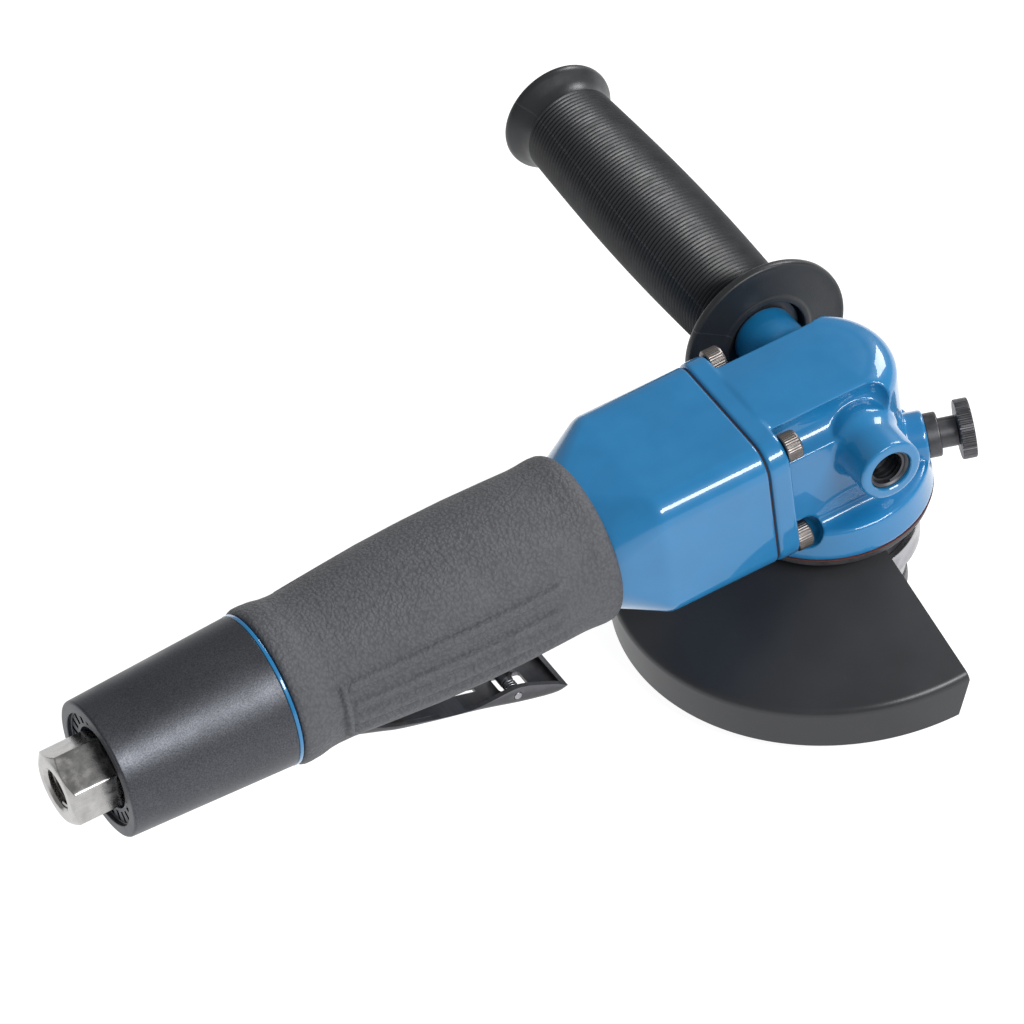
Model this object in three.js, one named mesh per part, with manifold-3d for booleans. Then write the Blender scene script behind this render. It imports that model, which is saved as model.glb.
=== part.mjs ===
// Pneumatic angle grinder, in millimetres, +Z up.
// +Z runs up along the spindle, +X along the body to the nose of the head, +Y to the side handle.
// The origin is the middle of the spindle's free end. Sizes called z below are heights from the
// motor axis, which crosses the spindle axis in the gear head, and sizes called x run from there.
import * as THREE from 'three';
import { mergeVertices } from 'three/addons/utils/BufferGeometryUtils.js';
import Module from 'manifold-3d';

const wasm = await Module();
wasm.setup();

const degrees = THREE.MathUtils.degToRad;

// Clearances and sizes that many pieces share
const axisHeight = 70;
const seatGap = 0.3;
const slipGap = 0.2;
const runGap = 0.06;
const sweepGap = 0.6;
const overrun = 2;
const edgeBreak = 0.8;
const mergeDistance = 0.0005;
const sides = { large: 30, middle: 16, small: 10, hole: 10, ribbed: 8, hex: 6 };
const cornerSteps = 4;
const springSides = 5;
const springSteps = 8;
const leastSpringGap = 0.4;

// Inlet, exhaust sleeve and what is inside them
const inlet = {
  hexAcross: 21, hexLength: 17.5, hexChamfer: 1.4, shankRadius: 9.5, shankLength: 27,
  mouthRadius: 6.8, boreRadius: 5.9, boreLength: 16, throatRadius: 4.5,
};
const screen = { radius: 6.7, wall: 0.9, length: 13 };
const sleeve = {
  length: 51.9, rearRadius: 21, frontRadius: 23, wall: 2.2, rearWall: 4, recessRadius: 17.4,
  recessDepth: 1.5, holeRadius: 14.5, slotRadius: 17, slotWidth: 1.6, slotCount: 24, proud: 13.5,
};
const silencer = { outer: 18.2, rearGap: 0.3, frontGap: 7.6 };

// Motor housing
const housing = {
  halfWidth: 25.6, top: 21.8, bottom: 21.8, topCorner: 8, bottomCorner: 6, length: 34.5,
  taperLength: 19, tubeRadius: 20.2, ringRadius: 23.2, ringThickness: 1.2, spigotRadius: 20.4,
  spigotLength: 10, noseTubeRadius: 12.4, airRadius: 6, exhaustRadius: 2.6, exhaustSide: 13.6,
};
const block = {
  halfWidth: 6.4, rear: -174, front: -118, bottom: -24.9, rearBottom: -24, rearEnd: -155,
  frontStart: -147,
};

// Grip: its shape as shares of its length and of its largest radius, then the ridges on its two sides
const grip = {
  rear: -182.6, front: -79, radius: 25.8, flatHalfWidth: 9.8, cutFront: -117.6, cutRear: -174.4,
  cutTop: -15, ridgeRear: -168, ridgeFront: -96, ridgeHeight: 0.8, ridgeHalfAngle: degrees(2.6),
  ridgeFade: 3,
};
const gripLengthShares = [0, 0.013, 0.064, 0.122, 0.315, 0.43, 0.681, 0.884, 0.932, 0.971, 0.99, 1];
const gripRadiusShares = [0.876, 0.93, 0.926, 0.888, 0.942, 0.977, 1, 0.977, 0.992, 0.992, 0.957, 0.907];
const ridgeAngles = [22, 6, -7.5, -19].map(degrees);

// Air motor
const motor = {
  linerOuter: 17.4, linerFront: -46, linerRear: -86, chamberRadius: 14.2, chamberShift: 1.2,
  rotorRadius: 12.6, rotorEndGap: 0.3, shaftRadius: 4, shaftFront: -12.5, shaftRear: -97.5,
  frontPlateFace: -31.2, frontRecess: 12, bearingFront: -33, bearingRear: -91, rearPlateEnd: -98.3,
  flatSide: 15.4, portWidth: 3, portLength: 24, portRadius: 1.8, portPlace: 11.5, portCount: 4,
  airChamber: 3,
};
const bearing = { outer: 8, length: 9, rearLength: 7 };
const vane = { count: 5, thickness: 1.5, depth: 6, tip: 12.3 };

// Gear head
const head = {
  flangeFront: -23.5, flangeThickness: 6.8, seam: 0.6, halfWidth: 26, top: 22, bottom: 23, corner: 8,
  bodyHalfWidth: 20.9, noseRadius: 23.2, bodyTop: 21.6, domeRise: 0.9, edgeDepth: 8, edgeHeight: 6,
  baseTop: -17.2, baseDraft: 0.9, baseWall: 11.5, baseBottom: -27.5, chamberRadius: 18.9,
  chamberTop: 9, shaftHole: 9.5, channelRadius: 6.5, channelEnd: 7, pocketRadius: 5.2,
  pocketEnd: -19.5,
};
const screw = {
  side: 20.8, height: 17.8, headRadius: 4.25, headLength: 5, shankRadius: 1.9, shankLength: 18,
  socketAcross: 4, socketDepth: 2.8,
};
const boss = {
  forward: 3, nearHeight: 4.9, farHeight: 3.3, radius: 9.7, nearReach: 34.9, farReach: 36.5,
  root: 15, droop: degrees(2), insertRadius: 6.3, insertLength: 13, threadRadius: 5.1, mouthRadius: 6,
  insertRecess: 0.3,
};

// Spindle lock, standing out of the head at its own angle
const lock = {
  angle: degrees(-20), height: -15.75, bossRadius: 7.8, bossReach: 29.3, bossRoot: 15, pocketRadius: 9.2,
  bushingRadius: 6.5, bushingReach: 33.2, bushingThread: 5.2, stemRadius: 4.4, knobRadius: 8.7,
  knobPlace: 38.5, knobThickness: 4.4, knurlDepth: 0.35, knurlCount: 22, pinRadius: 2.4, travel: 3.2,
  stemEnd: 30.6, wallEnd: 20.6, springWire: 0.6, springLength: 3.6, springCurls: 2,
};

// Bevel gears: both cones meet where the axes cross
const gears = {
  coneDistance: 19.2, faceWidth: 6, pinionTeeth: 12, wheelTeeth: 29, addendumShare: 0.72,
  dedendumShare: 1.05, backlashShare: 0.16, backThickness: 4.4, hubRadius: 10.3, holeCount: 4,
  flankAngle: degrees(20),
};

// Spindle, its bearings, the bearing cap and the flanges that clamp a disc
const spindle = { radius: 7, topRadius: 5, topEnd: 16.8, threadRadius: 6.7, threadRoot: 6.1, threadPitch: 2 };
const upperBearing = { outer: 9, bottom: 9.3, length: 7.6 };
const lowerBearing = { outer: 17.5, top: -22, length: 11 };
const cap = {
  gasket: 0.4, flangeInset: 0.9, flangeBottom: -30.5, neckRadius: 21, neckBottom: -50.7,
  sealRadius: 13.4, screwInset: 4.2, screwHead: 2.4, screwHeadLength: 1.8, screwShank: 1.4, screwDepth: 6,
};
const capScrewAngles = [70, 160, 200, 290].map(degrees);
const clampFlange = { radius: 20, top: -55, bottom: -59, hubRadius: 11, hubTop: -53.3, pilot: 1.3 };
const nut = { thickness: 5.4, gap: 0.3, pinHole: 2.4, pinPlace: 14.5, pinCount: 4 };

// Guard, a half dish that rises to a collar round the neck, and its clamp
const guard = {
  radius: 66.5, bendTop: -51.4, bottom: -65.8, sheet: 1.9, bend: 3, collarTop: -33, chord: 1.6,
  turn: degrees(2.4), facetTurn: degrees(-2.4), slant: 4.8, shoulderRadius: 25.3, collarOuter: 22.9,
  collarBottom: -50, rootLip: 0.4,
};
const band = {
  outer: 24.9, top: -40.8, bottom: -47.6, gap: 4, earLength: 7.5, earThickness: 2.4,
  angle: degrees(40), screwRadius: 1.9, headRadius: 3.2, headLength: 2.8, nutAcross: 6.4, nutLength: 2.6,
};

// Side handle, measured along its own axis
const handle = {
  collarPlace: 33.9, collarRadius: 26, collarThickness: 3, holeRadius: 12.6, holeDepth: 5.8,
  ribStart: 38, ribEnd: 146.5, ribCount: 46, ribDepth: 0.8, rootRadius: 14.7, middleRadius: 16,
  flareNeck: 14.3, flareRadius: 17.5, end: 155.5, boreRadius: 6.3, boreEnd: 140,
  coreFlange: 12, studRadius: 5, studReach: 24.5,
};
const flareLengthShares = [1 / 4, 1 / 2, 3 / 4];
const flareRiseShares = [1 / 3, 3 / 4, 1];

// Throttle lever, safety catch and valve. The lever's outline is given as shares of its length and drop
const lever = {
  pivotX: -167, pivotZ: -21.8, length: 73.3, drop: 25.5, lugRadius: 2.6, lugStart: degrees(60),
  lugSweep: degrees(230), pinRadius: 1.4, halfWidth: 9, sheet: 1.6, webShare: 0.177, frontWall: 2,
  windowShares: [0.744, 0.873], windowHalfWidth: 3.4, slotShares: [0.45, 0.655], slotHalfWidth: 1.3,
};
const leverBottomShares = [
  [0.055, 0.122], [0.191, 0.294], [0.273, 0.396], [0.446, 0.553], [0.619, 0.698], [0.793, 0.875],
  [0.924, 0.984], [0.977, 1], [1, 0.976],
];
const leverTopShares = [
  [1, 0.922], [0.952, 0.82], [0.868, 0.686], [0.824, 0.627], [0.768, 0.588], [0.645, 0.6],
  [0.559, 0.584], [0.45, 0.494], [0.205, 0.204], [0.082, -0.047],
];
const safety = {
  pinShares: [0.783, 0.71], pinRadius: 1.2, hubRadius: 2.1, halfWidth: 2.6, sheet: 1.4, legLength: 4,
  legLean: degrees(60), footLength: 7.5, footLean: degrees(-62), springRadius: 1.8, springWire: 0.5,
  springCurls: 4, springPlace: 5.1,
};
const valve = {
  place: -141, boreRadius: 6, boreTop: 6, bushingRadius: 5.8, bushingTop: -13, guideTop: -21,
  seatRadius: 3.4, stemRadius: 1.6, stemBottom: -31.35, headRadius: 4.6, headLength: 3, tipLength: 3,
  springRadius: 3.3, springWire: 0.7, springCurls: 4,
};

// Faces that follow from the sizes above
const flangeRear = head.flangeFront - head.flangeThickness;
const housingFront = flangeRear - head.seam;
const taperFront = housingFront - housing.length;
const taperRear = taperFront - housing.taperLength;
const ringFront = grip.rear - seatGap;
const ringRear = ringFront - housing.ringThickness;
const sleeveRear = ringRear - sleeve.length;
const hexRear = sleeveRear - sleeve.proud;
const hexFront = hexRear + inlet.hexLength;
const baseRadius = head.chamberRadius + head.baseWall;
const capTop = head.baseBottom - cap.gasket;
const capFlangeRadius = baseRadius - cap.flangeInset;
const capScrewPlace = baseRadius - cap.screwInset;

// The guard's plate runs from its shoulder so that it meets the bend without a corner
const guardBendPlace = { height: guard.bendTop - guard.bend, radius: guard.radius - guard.bend };
const guardRun = guardBendPlace.radius - guard.shoulderRadius;
const guardRise = guard.collarTop - guardBendPlace.height;
const guardSlope = Math.atan2(guardRise, guardRun) - Math.asin(guard.bend / Math.hypot(guardRise, guardRun));

// The lever's outline and the places of its openings and catch
const alongLever = (share) => lever.pivotX + lever.length * share;
const leverPoint = ([along, down]) => [alongLever(along), lever.pivotZ - lever.drop * down];
const leverBottom = leverBottomShares.map(leverPoint);
const leverTop = leverTopShares.map(leverPoint);
const [catchX, catchZ] = leverPoint(safety.pinShares);
const bandThickness = band.outer - guard.collarOuter - slipGap;

// Solids and booleans

function toSolid(shape) {
  if (!shape.isBufferGeometry) return shape;
  const bare = shape.index ? shape.toNonIndexed() : shape.clone();
  bare.deleteAttribute('normal');
  bare.deleteAttribute('uv');
  const merged = mergeVertices(bare, mergeDistance);
  const points = merged.attributes.position.array;
  const index = merged.index.array;
  const [p, q, r] = [new THREE.Vector3(), new THREE.Vector3(), new THREE.Vector3()];
  const faces = [];
  let volume = 0;
  for (let i = 0; i < index.length; i += 3) {
    const face = [index[i], index[i + 1], index[i + 2]];
    if (new Set(face).size < face.length) continue;
    faces.push(face);
    [p, q, r].forEach((corner, k) => corner.fromArray(points, 3 * face[k]));
    volume += p.dot(q.cross(r));
  }
  const outward = faces.map(([a, b, c]) => (volume < 0 ? [a, c, b] : [a, b, c]));
  return new wasm.Manifold(new wasm.Mesh({
    numProp: 3,
    vertProperties: new Float32Array(points),
    triVerts: new Uint32Array(outward.flat()),
  }));
}

function toGeometry(solid) {
  const mesh = solid.getMesh();
  const geometry = new THREE.BufferGeometry();
  geometry.setAttribute('position', new THREE.BufferAttribute(new Float32Array(mesh.vertProperties), 3));
  geometry.setIndex(new THREE.BufferAttribute(new Uint32Array(mesh.triVerts), 1));
  geometry.computeVertexNormals();
  return geometry;
}

function join(first, ...others) {
  return others.reduce((sum, shape) => sum.add(toSolid(shape)), toSolid(first));
}

function cut(first, ...others) {
  return others.reduce((rest, shape) => rest.subtract(toSolid(shape)), toSolid(first));
}

// The radius of a bore with this many sides that clears a round shaft by the running gap
function bored(radius, count) {
  return (radius + runGap) / Math.cos(Math.PI / count);
}

// A hole along Y for a round pin, right through a part of this half width
function pinBore(halfWidth, pinRadius) {
  const reach = halfWidth + overrun;
  return turnY(rod(-reach, reach, bored(pinRadius, sides.small)), sides.small);
}

// Turned shapes: a profile is a list of [place along the axis, radius]

function turnY(profile, sides) {
  const points = profile.map(([along, radius]) => new THREE.Vector2(radius, along));
  points.push(points[0].clone());
  return new THREE.LatheGeometry(points, sides);
}

function turnX(profile, sides) {
  return turnY(profile, sides).rotateZ(-Math.PI / 2);
}

function turnZ(profile, sides) {
  return turnY(profile, sides).rotateX(Math.PI / 2);
}

function tube(start, end, outer, inner) {
  return [[start, inner], [start, outer], [end, outer], [end, inner]];
}

function rod(start, end, radius) {
  return [[start, 0], [start, radius], [end, radius], [end, 0]];
}

function brokenRod(start, end, radius, chamfer) {
  return [
    [start, 0], [start, radius - chamfer], [start + chamfer, radius],
    [end - chamfer, radius], [end, radius - chamfer], [end, 0],
  ];
}

function block3(x0, x1, y0, y1, z0, z1) {
  const box = new THREE.BoxGeometry(x1 - x0, y1 - y0, z1 - z0);
  return box.translate((x0 + x1) / 2, (y0 + y1) / 2, (z0 + z1) / 2);
}

// An outline of [x, z] pairs, as thick as the span from y0 to y1
function plate(outline, y0, y1) {
  const shape = new THREE.Shape(outline.map(([x, z]) => new THREE.Vector2(x, z)));
  const slab = new THREE.ExtrudeGeometry(shape, { depth: y1 - y0, bevelEnabled: false });
  return slab.rotateX(Math.PI / 2).translate(0, y1, 0);
}

// The radius to the corners of a hex, and a prism with flats along X
function hexCorner(across) {
  return across / 2 / Math.cos(Math.PI / sides.hex);
}

function hexPrism(x0, x1, across) {
  return turnX(rod(x0, x1, hexCorner(across)), sides.hex);
}

// Rings of equally many points joined into a skin with closed ends
function loft(rings) {
  const count = rings[0].length;
  const points = rings.flat();
  const index = [];
  for (let r = 0; r < rings.length - 1; r += 1) {
    for (let i = 0; i < count; i += 1) {
      const a = r * count + i;
      const b = r * count + ((i + 1) % count);
      index.push(a, b, a + count, b, b + count, a + count);
    }
  }
  [0, rings.length - 1].forEach((r) => {
    const middle = rings[r].reduce((sum, point) => sum.add(point), new THREE.Vector3());
    points.push(middle.divideScalar(count));
    for (let i = 0; i < count; i += 1) {
      const a = r * count + i;
      const b = r * count + ((i + 1) % count);
      index.push(...(r ? [a, b, points.length - 1] : [b, a, points.length - 1]));
    }
  });
  const skin = new THREE.BufferGeometry().setFromPoints(points);
  skin.setIndex(index);
  return skin;
}

class Helix extends THREE.Curve {
  constructor(radius, start, end, curls) {
    super();
    Object.assign(this, { radius, start, end, curls });
  }

  getPoint(t, target = new THREE.Vector3()) {
    const turn = 2 * Math.PI * this.curls * t;
    const along = THREE.MathUtils.lerp(this.start, this.end, t);
    return target.set(this.radius * Math.cos(turn), this.radius * Math.sin(turn), along);
  }
}

// The least gap between two curls of a wound wire, measured on points along its path
function leastGap(path, wire, curls) {
  const points = path.getPoints(springSteps * springSteps * curls);
  const half = (springSteps * springSteps) / 2;
  let least = Infinity;
  points.forEach((point, i) => {
    points.slice(i + half).forEach((other) => {
      least = Math.min(least, point.distanceTo(other) - wire);
    });
  });
  return least;
}

// A wound spring along Z, in one unbroken tube
function coil(name, radius, wire, start, end, curls) {
  const section = new THREE.Shape();
  for (let i = 0; i < springSides; i += 1) {
    const turn = (2 * Math.PI * i) / springSides;
    const [x, y] = [(wire / 2) * Math.cos(turn), (wire / 2) * Math.sin(turn)];
    if (i) section.lineTo(x, y);
    else section.moveTo(x, y);
  }
  section.closePath();
  const path = new Helix(radius, start + wire / 2, end - wire / 2, curls);
  const gap = leastGap(path, wire, curls);
  if (gap < leastSpringGap) throw new Error(`${name} winds too tightly`);
  console.log(`${name}: least gap to itself ${gap.toFixed(2)} mm`);
  const steps = springSteps * curls;
  return new THREE.ExtrudeGeometry(section, { steps, extrudePath: path, bevelEnabled: false });
}

// The tool, filled piece by piece

const tool = new THREE.Group();

const finishes = {
  bluePaint: { color: 0x2f78b7, roughness: 0.25, metalness: 0.2 },
  darkAnodised: { color: 0x4a4c50, roughness: 0.45, metalness: 0.8 },
  gripRubber: { color: 0x5a5b60, roughness: 0.85, metalness: 0 },
  blackRubber: { color: 0x2b2d30, roughness: 0.8, metalness: 0 },
  blackSteel: { color: 0x3b3c3e, roughness: 0.5, metalness: 0.7 },
  steel: { color: 0xb4b4b8, roughness: 0.3, metalness: 1 },
  screwSteel: { color: 0x8a8280, roughness: 0.4, metalness: 1 },
  brass: { color: 0xb98e4a, roughness: 0.35, metalness: 1 },
  castIron: { color: 0x55565a, roughness: 0.6, metalness: 0.8 },
  redGasket: { color: 0x7a3a2c, roughness: 0.8, metalness: 0 },
  darkGasket: { color: 0x1e1f22, roughness: 0.8, metalness: 0 },
  composite: { color: 0x7b5a3a, roughness: 0.7, metalness: 0 },
  felt: { color: 0x2a2a2a, roughness: 1, metalness: 0 },
};

function add(name, shape, finish) {
  const mesh = new THREE.Mesh(toGeometry(toSolid(shape)), new THREE.MeshStandardMaterial(finishes[finish]));
  mesh.name = name;
  mesh.position.z = axisHeight;
  tool.add(mesh);
}

// Inlet

function makeInlet() {
  const tip = hexRear + inlet.hexChamfer;
  const corner = hexCorner(inlet.hexAcross);
  const cone = turnX([
    [hexRear, 0], [hexRear, inlet.hexAcross / 2 - inlet.hexChamfer / 2], [tip, corner],
    [hexFront, corner], [hexFront, 0],
  ], sides.large);
  const hex = toSolid(hexPrism(hexRear, hexFront, inlet.hexAcross)).intersect(toSolid(cone));
  const shankEnd = hexFront + inlet.shankLength;
  const shank = turnX(brokenRod(hexFront - overrun, shankEnd, inlet.shankRadius, edgeBreak), sides.middle);
  const boreEnd = hexRear + inlet.boreLength;
  const bore = turnX([
    [hexRear - overrun, 0], [hexRear - overrun, inlet.mouthRadius], [hexRear, inlet.mouthRadius],
    [hexRear + inlet.mouthRadius - inlet.boreRadius, inlet.boreRadius], [boreEnd, inlet.boreRadius],
    [boreEnd, inlet.throatRadius], [shankEnd + overrun, inlet.throatRadius], [shankEnd + overrun, 0],
  ], sides.middle);
  add('inlet_bushing', cut(join(hex, shank), bore), 'steel');

  const start = shankEnd + seatGap;
  const end = start + screen.length;
  const inner = screen.radius - screen.wall;
  const cup = turnX([
    [start, inner], [start, screen.radius], [end, screen.radius], [end, 0], [end - screen.wall, 0],
    [end - screen.wall, inner],
  ], sides.small);
  add('inlet_screen', cup, 'steel');
}

function makeExhaustSleeve() {
  const inside = sleeve.frontRadius - sleeve.wall;
  const spigotEnd = ringRear - housing.spigotLength - seatGap;
  const wallFace = sleeveRear + sleeve.rearWall;
  const body = turnX([
    [sleeveRear + sleeve.recessDepth, sleeve.holeRadius],
    [sleeveRear + sleeve.recessDepth, sleeve.recessRadius],
    [sleeveRear, sleeve.recessRadius], [sleeveRear, sleeve.rearRadius - edgeBreak],
    [sleeveRear + edgeBreak, sleeve.rearRadius], [ringRear, sleeve.frontRadius], [ringRear, inside],
    [spigotEnd, inside], [spigotEnd, inside - seatGap],
    [wallFace, sleeve.rearRadius - sleeve.wall], [wallFace, sleeve.holeRadius],
  ], sides.large);
  const slots = [];
  for (let i = 0; i < sleeve.slotCount; i += 1) {
    const slot = block3(
      sleeveRear, wallFace + overrun, -sleeve.slotWidth / 2, sleeve.slotWidth / 2,
      sleeve.holeRadius - edgeBreak, sleeve.slotRadius,
    );
    slots.push(slot.rotateX((2 * Math.PI * (i + 1 / 2)) / sleeve.slotCount));
  }
  add('exhaust_sleeve', cut(body, ...slots), 'darkAnodised');

  const start = wallFace + silencer.rearGap;
  const end = ringRear - housing.spigotLength - silencer.frontGap;
  const bore = housing.noseTubeRadius + seatGap;
  add('exhaust_silencer', turnX(tube(start, end, silencer.outer, bore), sides.middle), 'felt');
}

// Motor housing

// The rounded section across the motor, its corners turned in equal steps
function sectionRing(x, size, grow = 0) {
  const points = [];
  const corners = [
    [size.halfWidth, size.top, size.topCorner], [-size.halfWidth, size.top, size.topCorner],
    [-size.halfWidth, -size.bottom, size.bottomCorner], [size.halfWidth, -size.bottom, size.bottomCorner],
  ];
  corners.forEach(([y, z, radius], quarter) => {
    const [middleY, middleZ] = [y - Math.sign(y) * radius, z - Math.sign(z) * radius];
    for (let i = 0; i <= cornerSteps; i += 1) {
      const turn = (Math.PI / 2) * (quarter + i / cornerSteps);
      const reach = radius + grow;
      points.push(new THREE.Vector3(x, middleY + reach * Math.cos(turn), middleZ + reach * Math.sin(turn)));
    }
  });
  return points;
}

function roundSection(radius) {
  return { halfWidth: radius, top: radius, bottom: radius, topCorner: radius, bottomCorner: radius };
}

// The full section and its taper to the round tube, made larger all round by grow
function housingBarrel(grow) {
  return loft([
    sectionRing(taperRear, roundSection(housing.tubeRadius), grow),
    sectionRing(taperFront, housing, grow),
    sectionRing(housingFront - edgeBreak, housing, grow),
    sectionRing(housingFront, housing, grow - edgeBreak / 2),
  ]);
}

function screwPlaces(action) {
  return [[1, 1], [-1, 1], [-1, -1], [1, -1]].map(([y, z], i) => action(y * screw.side, z * screw.height, i));
}

function makeHousing() {
  const noseEnd = hexFront - seatGap;
  const rear = turnX([
    [hexFront + seatGap, 0], [hexFront + seatGap, housing.noseTubeRadius],
    [ringRear - housing.spigotLength, housing.noseTubeRadius],
    [ringRear - housing.spigotLength, housing.spigotRadius], [ringRear, housing.spigotRadius],
    [ringRear, housing.ringRadius], [ringFront, housing.ringRadius], [ringFront, housing.tubeRadius],
    [taperRear + edgeBreak, housing.tubeRadius], [taperRear + edgeBreak, 0],
  ], sides.large);
  const valveBlock = plate([
    [block.rear, 0], [block.rear, block.rearBottom], [block.rearEnd, block.rearBottom],
    [block.frontStart, block.bottom], [block.front, block.bottom], [block.front, 0],
  ], -block.halfWidth, block.halfWidth);
  const motorBore = turnX(rod(motor.rearPlateEnd - seatGap, 0, motor.linerOuter + slipGap), sides.large);
  const airChamber = turnX(rod(
    motor.rearPlateEnd - motor.airChamber, motor.rearPlateEnd, motor.portPlace + motor.portRadius,
  ), sides.middle);
  const shankEnd = hexFront + inlet.shankLength;
  const screenEnd = shankEnd + screen.length + overrun;
  const airWay = turnX([
    [noseEnd, 0], [noseEnd, inlet.shankRadius + slipGap], [shankEnd + seatGap, inlet.shankRadius + slipGap],
    [shankEnd + seatGap, screen.radius + slipGap], [screenEnd, screen.radius + slipGap],
    [screenEnd, housing.airRadius], [motor.rearPlateEnd, housing.airRadius], [motor.rearPlateEnd, 0],
  ], sides.middle);
  const valveBore = turnZ(rod(block.bottom - overrun, valve.boreTop, valve.boreRadius), sides.middle);
  valveBore.translate(valve.place, 0, 0);
  const pivotHole = pinBore(block.halfWidth, lever.pinRadius).translate(lever.pivotX, 0, lever.pivotZ);
  const exhausts = [-1, 1].map((side) => {
    const start = ringRear - housing.spigotLength - overrun;
    const way = turnX(rod(start, motor.rearPlateEnd, housing.exhaustRadius), sides.small);
    return way.translate(0, side * housing.exhaustSide, 0);
  });
  const screwHoles = screwPlaces((y, z) => {
    const end = head.flangeFront - screw.shankLength - overrun;
    return turnX(rod(end, 0, screw.shankRadius + slipGap), sides.small).translate(0, y, z);
  });
  const body = join(rear, housingBarrel(0), valveBlock);
  const holes = [motorBore, airChamber, airWay, valveBore, pivotHole, ...exhausts, ...screwHoles];
  add('motor_housing', cut(body, ...holes), 'bluePaint');

  const sheet = loft([housingFront, flangeRear].map((x) => sectionRing(x, housing, -edgeBreak)));
  const hole = rod(housingFront - overrun, flangeRear + overrun, head.shaftHole + overrun);
  const opening = turnX(hole, sides.middle);
  const gasketHoles = screwPlaces((y, z) => turnX(
    rod(housingFront - overrun, flangeRear + overrun, screw.shankRadius + slipGap), sides.hole,
  ).translate(0, y, z));
  add('head_gasket', cut(sheet, opening, ...gasketHoles), 'darkGasket');
}

// Grip sleeve

// Angle columns round the grip: three across each ridge, the rest spread between them
function gripColumns() {
  const columns = [];
  const ridges = [];
  ridgeAngles.forEach((angle) => ridges.push(Math.PI - angle, angle));
  ridges.forEach((middle) => {
    const half = grip.ridgeHalfAngle;
    columns.push([middle - half, 0], [middle - half / 2, 1], [middle + half / 2, 1], [middle + half, 0]);
  });
  const plain = sides.middle;
  for (let i = 0; i < plain; i += 1) {
    const angle = (2 * Math.PI * i) / plain;
    const clear = ridges.every((middle) => {
      const away = Math.abs(THREE.MathUtils.euclideanModulo(angle - middle + Math.PI, 2 * Math.PI) - Math.PI);
      return away > grip.ridgeHalfAngle + Math.PI / plain / 2;
    });
    if (clear) columns.push([angle, 0]);
  }
  const wrapped = columns.map(([angle, rise]) => [THREE.MathUtils.euclideanModulo(angle, 2 * Math.PI), rise]);
  return wrapped.sort((a, b) => a[0] - b[0]);
}

function makeGrip() {
  const places = gripLengthShares.map((share) => THREE.MathUtils.lerp(grip.rear, grip.front, share));
  const radii = gripRadiusShares.map((share) => share * grip.radius);
  const stations = [
    ...places, grip.ridgeRear - grip.ridgeFade, grip.ridgeRear, grip.ridgeFront,
    grip.ridgeFront + grip.ridgeFade,
  ].sort((a, b) => a - b).map((x) => {
    const next = places.findIndex((place) => place >= x);
    const last = Math.max(next - 1, 0);
    const part = (x - places[last]) / (places[next] - places[last] || 1);
    const shown = x >= grip.ridgeRear && x <= grip.ridgeFront ? 1 : 0;
    return [x, THREE.MathUtils.lerp(radii[last], radii[next], part), shown];
  });
  const columns = gripColumns();
  const rings = stations.map(([x, radius, shown]) => columns.map(([angle, rise]) => {
    const reach = radius + shown * rise * grip.ridgeHeight;
    return new THREE.Vector3(x, reach * Math.cos(angle), reach * Math.sin(angle));
  }));
  const inside = housing.tubeRadius + seatGap;
  const bore = turnX(rod(grip.rear - overrun, grip.front + overrun, inside), sides.large);
  const cutOut = block3(
    grip.cutRear, grip.cutFront, -grip.flatHalfWidth, grip.flatHalfWidth, -grip.radius - overrun, grip.cutTop,
  );
  add('grip_sleeve', cut(loft(rings), bore, housingBarrel(seatGap), cutOut), 'gripRubber');
}

// Air motor

function radialPorts(side) {
  return block3(
    (motor.linerFront + motor.linerRear - motor.portLength) / 2,
    (motor.linerFront + motor.linerRear + motor.portLength) / 2,
    side * motor.linerOuter - overrun, side * motor.linerOuter + overrun,
    -motor.portWidth / 2, motor.portWidth / 2,
  );
}

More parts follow.
